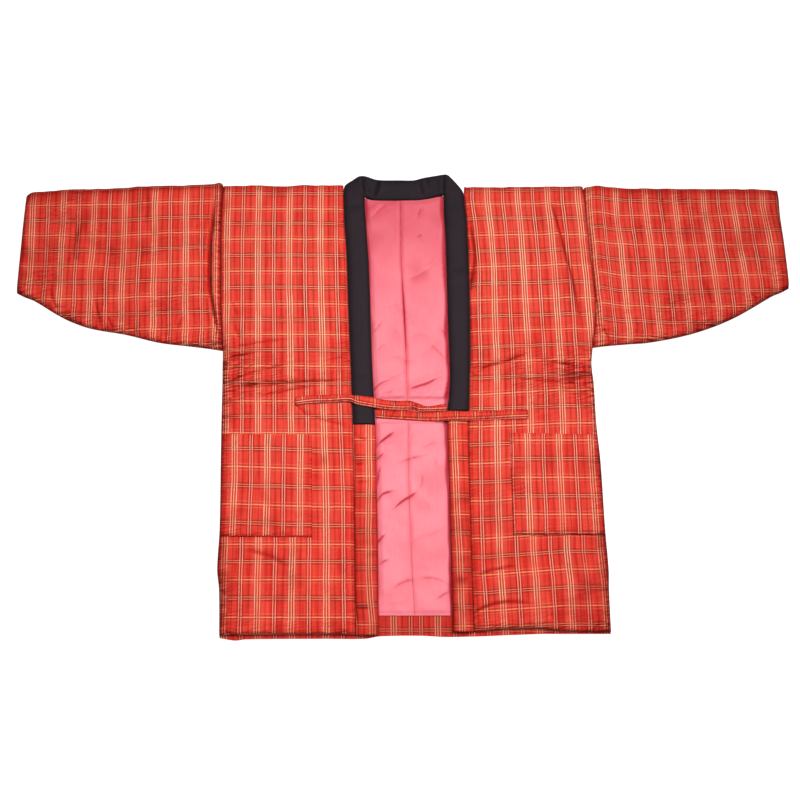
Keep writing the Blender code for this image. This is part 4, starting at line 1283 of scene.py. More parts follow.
@dataclass(frozen=True)
class Strip:
    """A wadded band through rows of sections, flat below and crowned above."""

    outer_x: Array
    outer_y: Array
    inner_x: Array
    inner_y: Array
    lift: Array
    pad: float = BAND_PAD
    square: float = 3.6  # how square the section's shoulders are
    sides: tuple[float, float] = (1.0, 1.0)  # how dark the painted shade makes the outer and inner edges
    edge: float = 0.16  # share of the thickness at the edges
    shade: float = 0.0  # how much painted shade lies over the whole band

    def spots(self) -> tuple[Array, Array, Array]:
        """Places across every row, and the share across each.

        Returns:
            Places along X, places along Y and the shares.
        """
        share = np.concatenate([(0.0, 0.006, 0.018, 0.04, 0.075, 0.12, 0.18),
                                np.linspace(0.25, 0.75, 9),
                                (0.82, 0.88, 0.925, 0.96, 0.982, 0.994, 1.0)])
        x = self.outer_x[:, None] + (self.inner_x - self.outer_x)[:, None] * share
        y = self.outer_y[:, None] + (self.inner_y - self.outer_y)[:, None] * share
        return x, y, share

    def make(self, name: str, finish: Material, check: Array,
             relief: Array, ends: float) -> Piece:
        """Build the band.

        Args:
            name: Name of the piece.
            finish: Its material.
            check: Warp and weft counts of its points.
            relief: Height that creases add to its upper face.
            ends: How far in from either end it is rounded.

        Returns:
            The piece.
        """
        x, y, share = self.spots()
        crown = np.sqrt(np.maximum(1.0 - np.abs(2 * share - 1) ** self.square, 0.0))
        middle = np.stack([x.mean(axis=1), y.mean(axis=1)], -1)
        run = np.concatenate([[0.0], np.cumsum(np.linalg.norm(np.diff(middle, axis=0), axis=1))])
        to_end = np.minimum(run, run[-1] - run)[:, None]
        crown = (self.edge + (1.0 - self.edge) * crown) * rim(to_end, 0.45, ends)
        bottom = BAND_BASE * self.lift[:, None] + 0.0008 * (1.0 - crown) * self.lift[:, None]
        top = BAND_BASE * self.lift[:, None] + self.pad * crown + relief * soft_step(crown - 0.2)
        # Painted shade: in the creases, along both edges, away from the fronts' upper part, and over the
        # whole band.
        edge_shade_share = self.sides[0] + (self.sides[1] - self.sides[0]) * share
        hollow = np.maximum(-relief / CREASE_SHADE_FULL, 0.0) + 1.2 * edge_shade_share * (1.0 - crown)
        hollow += painted_falloff(x, y) + self.shade
        wall = Wall(np.stack([x, y, top], -1), np.stack([x, y, bottom], -1), check, check,
                    hollow=hollow)
        return wall.make(name, [finish])


def front_band_rows(side: Side, y: Array) -> tuple[Array, ...]:
    """Outer and inner edge of a front band at some heights, as a strip's rows."""
    outer = FRONT_EDGE[side](y) - side.way * SEAM_GAP / 2
    return outer, y, BAND_EDGE[side](y), y, np.ones(len(y))


@dataclass(frozen=True)
class FrontBand:
    """The plaid lower part of a front band."""

    side: Side
    flat: tuple[float, float]
    creases: tuple[Crease, ...]

    def strip(self) -> Strip:
        """Lay out the band's rows, from the hem to the black cover.

        Returns:
            The strip.
        """
        low, high = BAND_END_Y[self.side], COLLAR_END_Y[self.side] - SEAM_GAP
        rule = Rule(FEW_STEPS, FEW_STEPS, steps_for(high - low, CLOTH_STEP))
        # Painted shade along the band's outer and inner edges, and over the whole band.
        sides = (0.45, 0.7) if self.side is Side.RIGHT else (0.25, 1.3)
        return Strip(*front_band_rows(self.side, rule.across(low, high)), sides=sides, edge=0.38,
                     shade=0.2)

    def relief(self, x: Array, y: Array) -> Array:
        """Height that creases and uneven wadding add.

        Args:
            x: Places along X.
            y: Places along Y.

        Returns:
            The height at each point.
        """
        way = self.side.way
        height = roughened(0.0, x, y, (90 + way, 0.035, 0.0007), (92 + way, 0.012, 0.0003))
        height += Unevenness(94 + way, 0.01, 0.0006, 4.0, 0.0)(y, x)
        return height + laid(self.creases, x, y)

    def make(self, plaid: Material) -> Piece:
        """Build the band.

        Args:
            plaid: Its material.

        Returns:
            The piece.
        """
        strip, word = self.strip(), self.side.word
        x, y, _ = strip.spots()
        piece = strip.make(word + "_band", plaid, BAND_CHARTS[self.side](x, y),
                           self.relief(x, y), 0.003)
        return hand_over(piece, "band_" + word)


FRONT_BANDS = (
    FrontBand(Side.RIGHT, (0.042, 0.362), crease_rows(
        (((-860, -1230), (-760, -1245), (-660, -1225)), 34, 30),
        (((-855, -720), (-720, -800), (-560, -830)), 30, 30),
        (((-840, -1600), (-700, -1560), (-600, -1590)), 30, 22),
        (((-830, -3660), (-700, -3700), (-560, -3690)), 30, 24))),
    FrontBand(Side.LEFT, (0.038, 0.38), crease_rows(
        (((1150, -3180), (1000, -3230), (850, -3210)), 50, 14))),
)


@dataclass(frozen=True)
class NeckBand:
    """The neck band in its black cover, from one front's waist round to the other's."""

    flat: tuple[float, float] = (0.045, 1.02)
    # Sections round the neck from right to left: outer x, y, inner x, y, share of a
    # front band's height
    turn: tuple[tuple[float, ...], ...] = (
        (-0.109, 0.362, -0.0695, 0.35, 1.0),
        (-0.11, 0.386, -0.0702, 0.367, 1.0),
        (-0.1068, 0.4, -0.07, 0.3772, 0.95),
        (-0.094, 0.4105, -0.069, 0.3758, 0.78),
        (-0.081, 0.42, -0.066, 0.375, 0.6),
        (-0.068, 0.4205, -0.062, 0.3736, 0.4),
        (-0.0525, 0.416, -0.0535, 0.3714, 0.16),
        (-0.034, 0.415, -0.034, 0.3716, 0.0),
        (-0.005, 0.415, -0.005, 0.3716, 0.0),
        (0.02, 0.415, 0.0215, 0.3716, 0.0),
        (0.038, 0.419, 0.0405, 0.373, 0.16),
        (0.06, 0.4215, 0.0545, 0.3758, 0.42),
        (0.079, 0.4235, 0.065, 0.3778, 0.6),
        (0.085, 0.42, 0.0705, 0.3786, 0.78),
        (0.105, 0.396, 0.0745, 0.3796, 0.95),
        (0.1112, 0.3845, 0.075, 0.37, 1.0),
        (0.1136, 0.362, 0.075, 0.35, 1.0),
    )
    creases: tuple[Crease, ...] = crease_rows(
        (((-739, 4190), (-729, 4006), (-692, 3793)), 24, 46, (0.3, 0.6)),
        (((-440, 4130), (-465, 4000), (-535, 3740)), 26, 46, (0.5, 0.2)),
        (((-700, 4120), (-640, 3960), (-600, 3800)), 30, 22),
        (((748, 4214), (756, 4006), (740, 3813)), 24, 44, (0.3, 0.6)),
        (((300, 4100), (330, 3960), (380, 3790)), 24, 26),
        (((470, 4150), (440, 4020)), 24, 26),
        (((-1000, 320), (-780, 300), (-560, 340)), 60, 14),
        (((-1080, 3520), (-900, 3560), (-740, 3530)), 60, 12),
        (((1160, 2350), (1000, 2310), (820, 2360)), 60, 12))

    def strip(self) -> Strip:
        """Lay out the band's rows along its whole run.

        Returns:
            The strip.
        """
        sections = []
        for side in (Side.RIGHT, Side.LEFT):
            y = np.linspace(COLLAR_END_Y[side], BAND_TURN_Y, 12)
            rows = np.stack(front_band_rows(side, y), -1)
            sections.append(rows if side is Side.RIGHT else rows[::-1])
        rows = np.concatenate([sections[0], np.array(self.turn), sections[1]])
        middle = (rows[:, :2] + rows[:, 2:4]) / 2
        run = np.concatenate([[0.0], np.cumsum(np.linalg.norm(np.diff(middle, axis=0), axis=1))])
        rule = Rule(FEW_STEPS, FEW_STEPS, steps_for(run[-1], CLOTH_STEP))
        at = rule.across(0.0, run[-1])
        *edges, lift = (Trace(tuple(run), tuple(rows[:, k]))(at) for k in range(5))
        return Strip(*edges, np.maximum(lift, 0.0))

    def make(self, black: Material) -> Piece:
        """Build the band.

        Args:
            black: Its material.

        Returns:
            The piece.
        """
        strip = self.strip()
        x, y, share = strip.spots()
        relief = roughened(0.0, x, y, (101, 0.04, 0.0007), (102, 0.015, 0.0003))
        relief += Unevenness(103, 0.011, 0.0004, 4.0, 0.0)(y, x)
        relief += laid(self.creases, x, y)
        run = np.cumsum(np.full(len(x), CLOTH_STEP))[:, None]
        check = np.stack([share * self.flat[0] + 0 * run, run + 0 * share], -1) / WARP_REPEAT
        return hand_over(strip.make("neck_band", black, check, relief, 0.0016),
                         "collar")


class FoldShape(Enum):
    """A fold of loose cloth: strength of its painted line and of its painted shadow, its rise and its
    reach.
    """

    CRISP = (1.0, 0.5, 0.0034, 0.0075)
    SOFT = (0.42, 0.46, 0.003, 0.009)
    BROAD = (0.0, 0.42, 0.003, 0.015)


CRISP, SOFT, BROAD = FoldShape


@dataclass(frozen=True)
class Drape:
    """A fold of loose cloth, raised on the left of its path, with painted shade on the right."""

    path: Path
    strength: float
    shape: FoldShape

    def read(self, x: Array, y: Array) -> Array:
        """Read the fold.

        Args:
            x: Places of the points along X.
            y: Places of the points along Y.

        Returns:
            The height that it adds and the painted shade that it lays, in the first axis.
        """
        line, shadow, rise, reach = self.shape.value
        added = np.zeros((2, *np.shape(x)))
        beside = beside_path(self.path, 3.0 * reach, x, y)
        if beside is None:
            return added
        near, best, along, side = beside
        share = 0.15 + 0.85 * soft_step(along / 0.35) * soft_step((1.0 - along) / 0.35)
        share = self.strength * share
        share *= np.exp(-np.where((along <= 0) | (along >= 1), best / 0.003, 0.0))
        raised = rise * 1.5 * (1.0 - fade(best, 0.0022)) * np.exp(-best / reach)
        # Painted shade: a dark line along the fold and a painted shadow on its right.
        shade = line * np.exp(-(best / 0.0014) ** 1.6)
        shade += np.where(side > 0, 0.0, shadow) * np.exp(-(best / (0.7 * reach)) ** 1.3)
        added[:, near] = share * np.where(side > 0, raised, 0.0), share * shade
        return added


def drape_rows(*rows: tuple) -> tuple[Drape, ...]:
    """Make drapes from rows of path in tenths of a millimetre, strength and shape."""
    return tuple(Drape(metre_path(path), strength, shape) for path, strength, shape in rows)


@dataclass(frozen=True)
class LiningHalf:
    """Half of the thin lining that shows on the back between the front bands."""

    side: Side
    flat: tuple[float, float]
    loft: float = 0.003  # how far the lining stands up off the wadding

    def make(self, pink: Material) -> Piece:
        """Build the lining half.

        Args:
            pink: Its material.

        Returns:
            The piece.
        """
        side, way = self.side, self.side.way
        down = Rule(FEW_STEPS, FEW_STEPS, steps_for(0.74, LINING_STEP))
        across = Rule((0.0, 0.004), (0.0, 0.0003, 0.0008, 0.0016, 0.003),
                      steps_for(0.1, LINING_STEP))
        y = np.full((len(down.shares), len(across.shares)), 0.0)
        for _ in range(3):
            seam = centre_back(y) + way * 0.2 * SEAM_GAP
            x = across.across(FRONT_EDGE[side](y) + way * LINING_TUCK, seam)
            top = neckline(x) - SEAM_GAP
            y = LINING_HEM_Y + (top - LINING_HEM_Y) * down.shares[:, None] + down.steps[:, None]
        band = (BAND_EDGE[side](y) - x) * way
        middle = np.abs(x - centre_back(y))
        hem, neck = y - LINING_HEM_Y, neckline(x) - y
        free = soft_step(band / 0.01) * soft_step((neck + 0.002) / 0.014)
        height, hollow = sum(drape.read(x, y) for drape in LINING_DRAPES)
        waves = roughened(0.0, x, y, (110, 0.052, 0.0019), (118, 0.02, 0.0013, 2.4, 0.9))
        height += self.loft + waves + Unevenness(114, 0.0085, 0.0003, 2.0)(x, y)
        seam = Unevenness(116, 0.014, 0.0005, 3.0, 0.0)(y, middle) * fade(middle, 0.01)
        height = (height + seam) * free * (0.35 + 0.65 * soft_step(hem / 0.012))
        height = np.maximum(height, 0.0) * (0.3 + 0.7 * soft_step(middle / 0.006))
        pressed = soft_step((np.abs(y - TIE_Y) - 0.02) / 0.014)
        height = np.minimum(height, 0.0003 + 0.02 * pressed)
        # Painted shade: from the drapes, in the dents of the waves, more towards the neck, a dark line
        # along the centre seam and a line above the hem.
        hollow += 0.16 * np.maximum(-waves / 0.002 - 0.1, 0.0)
        hollow += 0.16 * soft_step((y + 0.1) / 0.35)
        seam_painted_shade = 0.25 + 1.6 * swell(y, 0.15, 0.06)
        hollow += seam_painted_shade * fade(middle, 0.0012)
        hollow += 0.3 * soft_step((y - 0.17) / 0.17)
        hollow += 0.22 * swell(hem, 0.006, 0.0014)
        # Painted shadow of each band on the lining along its edge, strongest beside the left band.
        uneven = 1.0 + Unevenness(119, 0.03, 0.45)(y, 0 * y)
        painted_shade, shadow = (1.2, 0.0056) if side is Side.LEFT else (0.7, 0.003)
        shadow *= uneven * (0.7 + 0.3 * soft_step((y + 0.22) / 0.1))
        hollow += painted_shade * np.exp(-(np.maximum(band, 0.0) / shadow) ** 3)
        drawn = 0.3 * swell(y, 0.005, 0.03)
        drawn += np.maximum(Unevenness(111, 0.05, 0.35)(x, y) - 0.05, 0.0)
        thick = LINING_PAD * rim(nearest(middle, hem, neck), 0.3, 0.0012)
        base = LINING_BASE + height
        check = np.stack([x, y], -1) / WARP_REPEAT
        wall = Wall(np.stack([x, y, base + thick], -1), np.stack([x, y, base], -1), check, check,
                    hollow=hollow, drawn=drawn)
        return hand_over(wall.make(side.word + "_lining", [pink]),
                         "lining_" + side.word)


LINING_DRAPES = drape_rows(
    (((-669, 3289), (-559, 3383), (-402, 3566), (-260, 3661)), 0.5, BROAD),
    (((-686, 3492), (-592, 3576), (-481, 3627)), 0.4, SOFT),
    (((260, 3316), (292, 3458), (343, 3566)), 0.5, SOFT),
    (((246, 2960), (347, 3027)), 0.35, CRISP),
    (((54, 2151), (194, 2207), (349, 2289), (521, 2421)), 0.7, BROAD),
    (((-364, 1661), (-148, 1668), (-18, 1707)), 0.3, BROAD),
    (((119, 1060), (302, 1135), (546, 1060)), 0.5, BROAD),
    (((-546, 1136), (-470, 1241), (-357, 1402)), 0.65, SOFT),
    (((-498, 753), (-407, 886), (-285, 960)), 0.5, SOFT),
    (((-352, 665), (-124, 722), (88, 632), (270, 669)), 0.6, BROAD),
    (((-525, 69), (-464, 163), (-352, 232), (-140, 310)), 0.6, CRISP),
    (((-359, 320), (-116, 348), (73, 484)), 0.35, SOFT),
    (((81, 75), (157, 122), (264, 163), (431, 216), (553, 279), (690, 342)), 0.9, CRISP),
    (((189, 673), (373, 775), (527, 921), (607, 1024)), 0.35, BROAD),
    (((439, 970), (575, 859), (684, 740), (783, 600)), 0.6, SOFT),
    (((637, 1296), (728, 1158), (815, 1024)), 0.5, SOFT),
    (((-494, -49), (-328, 44), (-116, 75)), 0.35, SOFT),
    (((-209, 1312), (-86, 1120), (37, 960)), 0.35, BROAD),
    (((470, 1635), (592, 1473), (715, 1409)), 0.25, BROAD),
    (((-474, -924), (-370, -826), (-250, -728), (-130, -651)), 1.0, CRISP),
    (((-479, -1167), (-407, -1100), (-330, -1033)), 0.8, CRISP),
    (((-453, -1628), (-424, -1403), (-383, -1206)), 0.6, CRISP),
    (((-100, -1227), (70, -1149), (214, -1115), (429, -1064)), 0.75, SOFT),
    (((304, -978), (454, -887), (589, -820)), 0.4, SOFT),
    (((-463, -1918), (-396, -1799), (-298, -1736), (-114, -1703)), 0.9, CRISP),
    (((-203, -2060), (-70, -1927), (69, -1828), (167, -1769), (256, -1703)), 0.9, CRISP),
    (((256, -1703), (316, -1583), (326, -1463), (290, -1357)), 0.45, SOFT),
    (((-459, -2620), (-384, -2526), (-296, -2438)), 0.9, CRISP),
    (((-420, -2984), (-332, -2917), (-236, -2877)), 0.6, CRISP),
    (((-114, -2591), (92, -2608), (297, -2512), (562, -2421), (745, -2312)), 0.35, BROAD),
    (((-186, -3408), (-84, -3310), (76, -3235), (236, -3215)), 0.6, SOFT),
    (((236, -3215), (440, -3186), (643, -3235), (788, -3330)), 0.5, SOFT),
    (((539, -3568), (670, -3479), (787, -3416)), 0.45, CRISP),
    (((95, -963), (131, -780), (207, -596)), 0.4, SOFT),
    (((330, -1807), (403, -1912), (453, -2031)), 0.3, BROAD),
    (((527, -1115), (578, -1197), (535, -1276)), 0.35, SOFT),
    (((-344, -3602), (-113, -3631), (90, -3588)), 0.2, BROAD))


@dataclass(frozen=True)
class Tie:
    """A folded cloth tie that crosses the opening and climbs onto the other band."""

    side: Side
    over: Side
    top_edge: Path
    low_edge: Path
    climb: Path  # x, share of the climb from the lining onto the band
    pairs: Path  # x, weft count
    stripe: Path  # x, warp count along the lower edge
    painted_outline: float = 0.9  # how dark the painted shade makes its edges
    flat: tuple[float, float] = (0.018, 0.27)

    def support(self, x: Array, y: Array) -> Array:
        """Height of what the tie lies on where that is the other front.

        Args:
            x: Places along X.
            y: Places along Y.

        Returns:
            The height at each point, zero beside that front.
        """
        front = Front(self.over)
        inside = (x - FRONT_EDGE[self.over](y)) * self.over.way > 0.001
        return np.where(inside, front.top(x, y), 0.0)

    def make(self, plaid: Material) -> Piece:
        """Build the tie.

        Args:
            plaid: Its material.

        Returns:
            The piece.
        """
        ends = sorted((self.top_edge[0][0], self.top_edge[-1][0]))
        steps = (0.0, 0.0004, 0.0012, 0.0026)
        x = Rule(steps, steps, steps_for(ends[1] - ends[0], 0.0024)).across(*ends)[:, None]
        top, low, climb, weft, warp = (Trace(*zip(*path))(x) for path in (
            self.top_edge, self.low_edge, self.climb, self.pairs, self.stripe))
        share = np.concatenate([(0.0, 0.02, 0.06, 0.12), np.linspace(0.2, 0.8, 7),
                                (0.88, 0.94, 0.98, 1.0)])
        y = low + (top - low) * share
        x = x + 0 * y
        crown = np.sqrt(np.maximum(1.0 - np.abs(2 * share - 1) ** 4.0, 0.0))
        to_end = np.minimum(x - ends[0], ends[1] - x)
        crown = (0.25 + 0.75 * crown) * rim(to_end, 0.5, 0.0016)
        base = BAND_BASE + (BAND_PAD + LAY_GAP) * climb + 0 * y
        held = np.max(self.support(x, y), axis=1, keepdims=True) + 0.0003
        place = x[:, :1]
        held = np.max(held.T - 0.6 * np.abs(place - place.T), axis=1, keepdims=True)
        base = np.maximum(base, held)
        thick = TIE_PAD * crown
        uneven = Unevenness(120 + self.side.way, 0.016, 0.0006)(x, y)
        thick += (uneven + Unevenness(123, 0.007, 0.0003)(x, y)) * soft_step(crown)
        pleat = Crease(((x[0, 0], 0.0), (x[-1, 0], 0.0)), 0.0016, 0.0007, (0.3, 0.3))
        pressed = pleat(x, (share - 0.24) * (top - low))
        thick = np.maximum(thick + pressed, 0.0008)
        check = np.stack([warp - share * (top - low) / WARP_REPEAT, weft + 0 * y], -1)
        # Painted shade along the tie's edges and ends, in its dents and in the pressed pleat.
        rim_painted_shade = edge_painted_shade(np.minimum(share, 1.0 - share) * (top - low), self.painted_outline, 0.0013)
        hollow = rim_painted_shade + edge_painted_shade(to_end, self.painted_outline, 0.0013) + 0 * y
        hollow += 0.5 * np.maximum(-uneven / 0.0006 - 0.2, 0.0) - pressed / 0.0012
        wall = Wall(np.stack([x, y, base + thick], -1), np.stack([x, y, base], -1), check, check,
                    hollow=hollow, drawn=0.5 + 0 * y)
        return hand_over(wall.make(self.side.word + "_tie", [plaid]),
                         "tie_" + self.side.word)


TIES = (
    Tie(Side.LEFT, Side.RIGHT,
        ((0.0769, -0.0175), (0.0712, -0.0162), (0.0429, -0.02), (0.0271, -0.015),
         (0.0121, -0.0102), (-0.0055, -0.0104), (-0.0429, -0.0082), (-0.0549, -0.0056),
         (-0.091, -0.0022), (-0.1487, -0.0022), (-0.189, -0.0056)),
        ((0.0769, -0.0298), (0.0465, -0.0301), (0.0279, -0.0301), (0.0207, -0.0272),
         (-0.0055, -0.0271), (-0.0495, -0.0248), (-0.0816, -0.0193), (-0.0923, -0.0147),
         (-0.1177, -0.0159), (-0.1619, -0.0174), (-0.189, -0.0208)),
        ((0.0769, 0.22), (0.062, 0.08), (0.04, 0.0), (0.01, 0.0), (-0.02, 0.02),
         (-0.035, 0.28), (-0.0455, 0.72), (-0.056, 1.0), (-0.072, 1.02), (-0.09, 1.01),
         (-0.11, 0.98), (-0.14, 0.96), (-0.189, 0.96)),
        ((-0.189, -0.7), (-0.1454, 0.0), (-0.0812, 1.0), (-0.0178, 2.0), (0.0447, 3.0),
         (0.0769, 3.5)),
        ((-0.189, 0.56), (0.0769, 0.56))),
    Tie(Side.RIGHT, Side.LEFT,
        ((-0.048, -0.0252), (-0.0055, -0.0275), (0.016, -0.028), (0.0279, -0.0306),
         (0.0465, -0.0306), (0.0769, -0.0303), (0.1188, -0.0313), (0.17, -0.0297),
         (0.2185, -0.0292)),
        ((-0.048, -0.0409), (-0.0095, -0.0439), (0.0334, -0.0466), (0.076, -0.048),
         (0.1185, -0.048), (0.1707, -0.0463), (0.2185, -0.0446)),
        ((-0.048, 0.22), (-0.033, 0.06), (0.0, 0.0), (0.035, 0.0), (0.055, 0.1),
         (0.066, 0.42), (0.076, 0.8), (0.086, 1.0), (0.1, 1.02), (0.116, 1.01),
         (0.135, 0.98), (0.175, 0.96), (0.2185, 0.96)),
        ((-0.048, -0.21), (-0.0344, 0.0), (0.0293, 1.0), (0.0931, 2.0), (0.1585, 3.0),
         (0.2185, 3.92)),
        ((-0.048, 0.5), (0.2185, 0.56)), 0.45),
)


class MaterialBench:
    """Lays out the nodes of one procedural material."""

    def __init__(self, name: str, roughness: float, sheen: float, specular: float) -> None:
        """Start a material.

        Args:
            name: Name of the material.
            roughness: Of the cloth's surface.
            sheen: Weight of the soft light that the nap throws back.
            specular: Level of the direct gloss.
        """
        self.material = bpy.data.materials.new(name)
        self.material.use_nodes = True
        self.tree = self.material.node_tree
        self.shader = self.tree.nodes["Principled BSDF"]
        for socket, value in (("Roughness", roughness), ("Sheen Weight", sheen),
                              ("Sheen Roughness", SHEEN_ROUGHNESS),
                              ("Specular IOR Level", specular)):
            self.shader.inputs[socket].default_value = value

    def add(self, kind: str, **inputs: object) -> bpy.types.Node:
        """Add a node and set or link its inputs by name, with spaces as underscores.

        Args:
            kind: Type of the node.
            inputs: Value or socket for each input.

        Returns:
            The node.
        """
        node = self.tree.nodes.new(kind)
        for name, value in inputs.items():
            self.give(node.inputs[name.replace("_", " ")], value)
        return node

    def give(self, socket: Socket, value: object) -> None:
        """Link another socket to an input, or set a plain value on it."""
        if isinstance(value, Socket):
            self.tree.links.new(value, socket)
        else:
            socket.default_value = value

    def math(self, operation: str, first: object, second: object = 0.0,
             third: object = 0.0) -> Socket:
        """Add a math node and give its result.

        Args:
            operation: What it does.
            first: First value.
            second: Second value.
            third: Third value.

        Returns:
            The result's socket.
        """
        node = self.tree.nodes.new("ShaderNodeMath")
        node.operation = operation
        for socket, value in zip(node.inputs, (first, second, third)):
            self.give(socket, value)
        return node.outputs[0]

    def mix(self, share: object, first: object, second: object,
            blend: str = "MIX") -> Socket:
        """Mix two colours and give the result.

        Args:
            share: Share of the second colour.
            first: First colour.
            second: Second colour.
            blend: How they blend.

        Returns:
            The result's socket.
        """
        node = self.tree.nodes.new("ShaderNodeMix")
        node.data_type = "RGBA"
        node.blend_type = blend
        for socket, value in zip((node.inputs[0], node.inputs[6], node.inputs[7]),
                                 (share, first, second)):
            self.give(socket, value)
        return node.outputs[2]

    def ramp(self, place: object, stops: tuple[tuple, ...], reach: float) -> bpy.types.Node:
        """Add a colour ramp.

        Args:
            place: What the ramp reads, from 0 to 1.
            stops: Place up to reach, colour, and how much the colour covers; the ramp's
                colours come out with their cover worked in.
            reach: Place of the ramp's end.

        Returns:
            The ramp's node.
        """
        node = self.add("ShaderNodeValToRGB", Fac=place)
        for _ in range(len(stops) - 2):
            node.color_ramp.elements.new(0.5)
        for element, (spot, colour, cover) in zip(node.color_ramp.elements, stops):
            element.position = spot / reach
            element.color = (*(part * cover for part in linear(colour)), cover)
        return node

    def lay(self, under: object, stripes: bpy.types.Node, share: object) -> Socket:
        """Lay a ramp's stripes over a colour, by a share of their cover.

        Args:
            under: The colour below.
            stripes: The ramp's node.
            share: Share of the stripes' cover.

        Returns:
            The result's socket.
        """
        cover = self.math("MULTIPLY", stripes.outputs[1], share)
        bared = self.mix(cover, under, (0.0, 0.0, 0.0, 1.0))
        return self.mix(share, bared, stripes.outputs[0], "ADD")

    def noise(self, place: object, scale: float, detail: float = 2.0,
              contrast: float = 1.0) -> Socket:
        """Add a noise texture and give its value, spread about a half."""
        node = self.add("ShaderNodeTexNoise", Vector=place, Scale=scale, Detail=detail)
        return self.math("MULTIPLY_ADD", node.outputs[0], contrast, 0.5 - 0.5 * contrast)

    def field(self, name: str) -> Socket:
        """Read one of the mesh's own fields.

        Args:
            name: Name of the field.

        Returns:
            The result's socket.
        """
        node = self.add("ShaderNodeAttribute")
        node.attribute_name = name
        return node.outputs["Fac"]

    def paint_shade(self, colour: object, painted_shade: tuple[float, ...], dark: tuple[float, ...],
               most: float, wrinkle_shade: object, wrinkle_shade_most: float) -> object:
        """Paint shade into a colour, and darker shade still, by the mesh's painted-shade field and along
        the fine wrinkles.

        Args:
            colour: Colour of the open cloth.
            painted_shade: Tint of the painted shade.
            dark: Further tint where the painted shade is strongest.
            most: Share of the tint at full painted shade.
            wrinkle_shade: Painted shade along the lines of the fine wrinkles.
            wrinkle_shade_most: Share of the tint in those.

        Returns:
            The result's socket.
        """
        share = self.math("MULTIPLY", self.field("Hollow"), most)
        share = self.math("MINIMUM", self.math("MULTIPLY_ADD", wrinkle_shade, wrinkle_shade_most, share), 1.0)
        darker = self.math("MAXIMUM", self.math("MULTIPLY_ADD", share, 1.3, -0.35), 0.0)
        colour = self.mix(darker, colour, self.mix(1.0, colour, dark, "MULTIPLY"))
        return self.mix(share, colour, self.mix(1.0, colour, painted_shade, "MULTIPLY"))

    def wrinkles(self, place: object, scale: tuple[float, ...],
                 turn: float) -> tuple[Socket, Socket]:
        """Lay fine wandering wrinkles where the cloth is drawn, as a bump and as lines of painted shade.

        Args:
            place: Where on the cloth.
            scale: How close they lie along either place.
            turn: Turn of their run.

        Returns:
            The painted shade along the lines of the wrinkles, from 0 to 1, and the height of the cloth
            about them.
        """
        turned = self.add("ShaderNodeMapping", Vector=place, Rotation=(0.0, 0.0, turn))
        stretched = self.add("ShaderNodeMapping", Vector=turned.outputs[0], Scale=scale)
        wave = self.noise(stretched.outputs[0], 1.0, 1.5, 2.0)
        ridge = self.math("ABSOLUTE", self.math("MULTIPLY_ADD", wave, 2.0, -1.0))
        line = self.math("SUBTRACT", 1.0, self.math("MULTIPLY", ridge, 3.6))
        line = self.math("MAXIMUM", line, 0.0)
        drawn = self.field("Drawn")
        return (self.math("MULTIPLY", line, drawn),
                self.math("MULTIPLY", self.math("SUBTRACT", wave, line), drawn))

    def finish(self, colour: object, height: object, strength: float, distance: float,
               folds: object, fold_height: float) -> Material:
        """Set the colour and the bump of the yarns and of the wrinkles under them.

        Args:
            colour: Base colour.
            height: Height of the yarns.
            strength: Strength of their bump.
            distance: Their height in metres.
            folds: Height of the wrinkles.
            fold_height: Theirs in metres.

        Returns:
            The material.
        """
        self.give(self.shader.inputs["Base Color"], colour)
        under = self.add("ShaderNodeBump", Strength=1.0, Distance=fold_height, Height=folds)
        bump = self.add("ShaderNodeBump", Strength=strength, Distance=distance, Height=height,
                        Normal=under.outputs[0])
        self.give(self.shader.inputs["Normal"], bump.outputs[0])
        return self.material


def linear(colour: str) -> tuple[float, float, float]:
    """Turn a colour in web notation into linear light."""
    parts = [int(colour[k:k + 2], 16) / 255 for k in (0, 2, 4)]
    return tuple(p / 12.92 if p <= 0.04045 else ((p + 0.055) / 1.055) ** 2.4 for p in parts)


def opaque(colour: str) -> tuple[float, float, float, float]:
    """The same with full cover, as a colour socket takes it."""
    return (*linear(colour), 1.0)


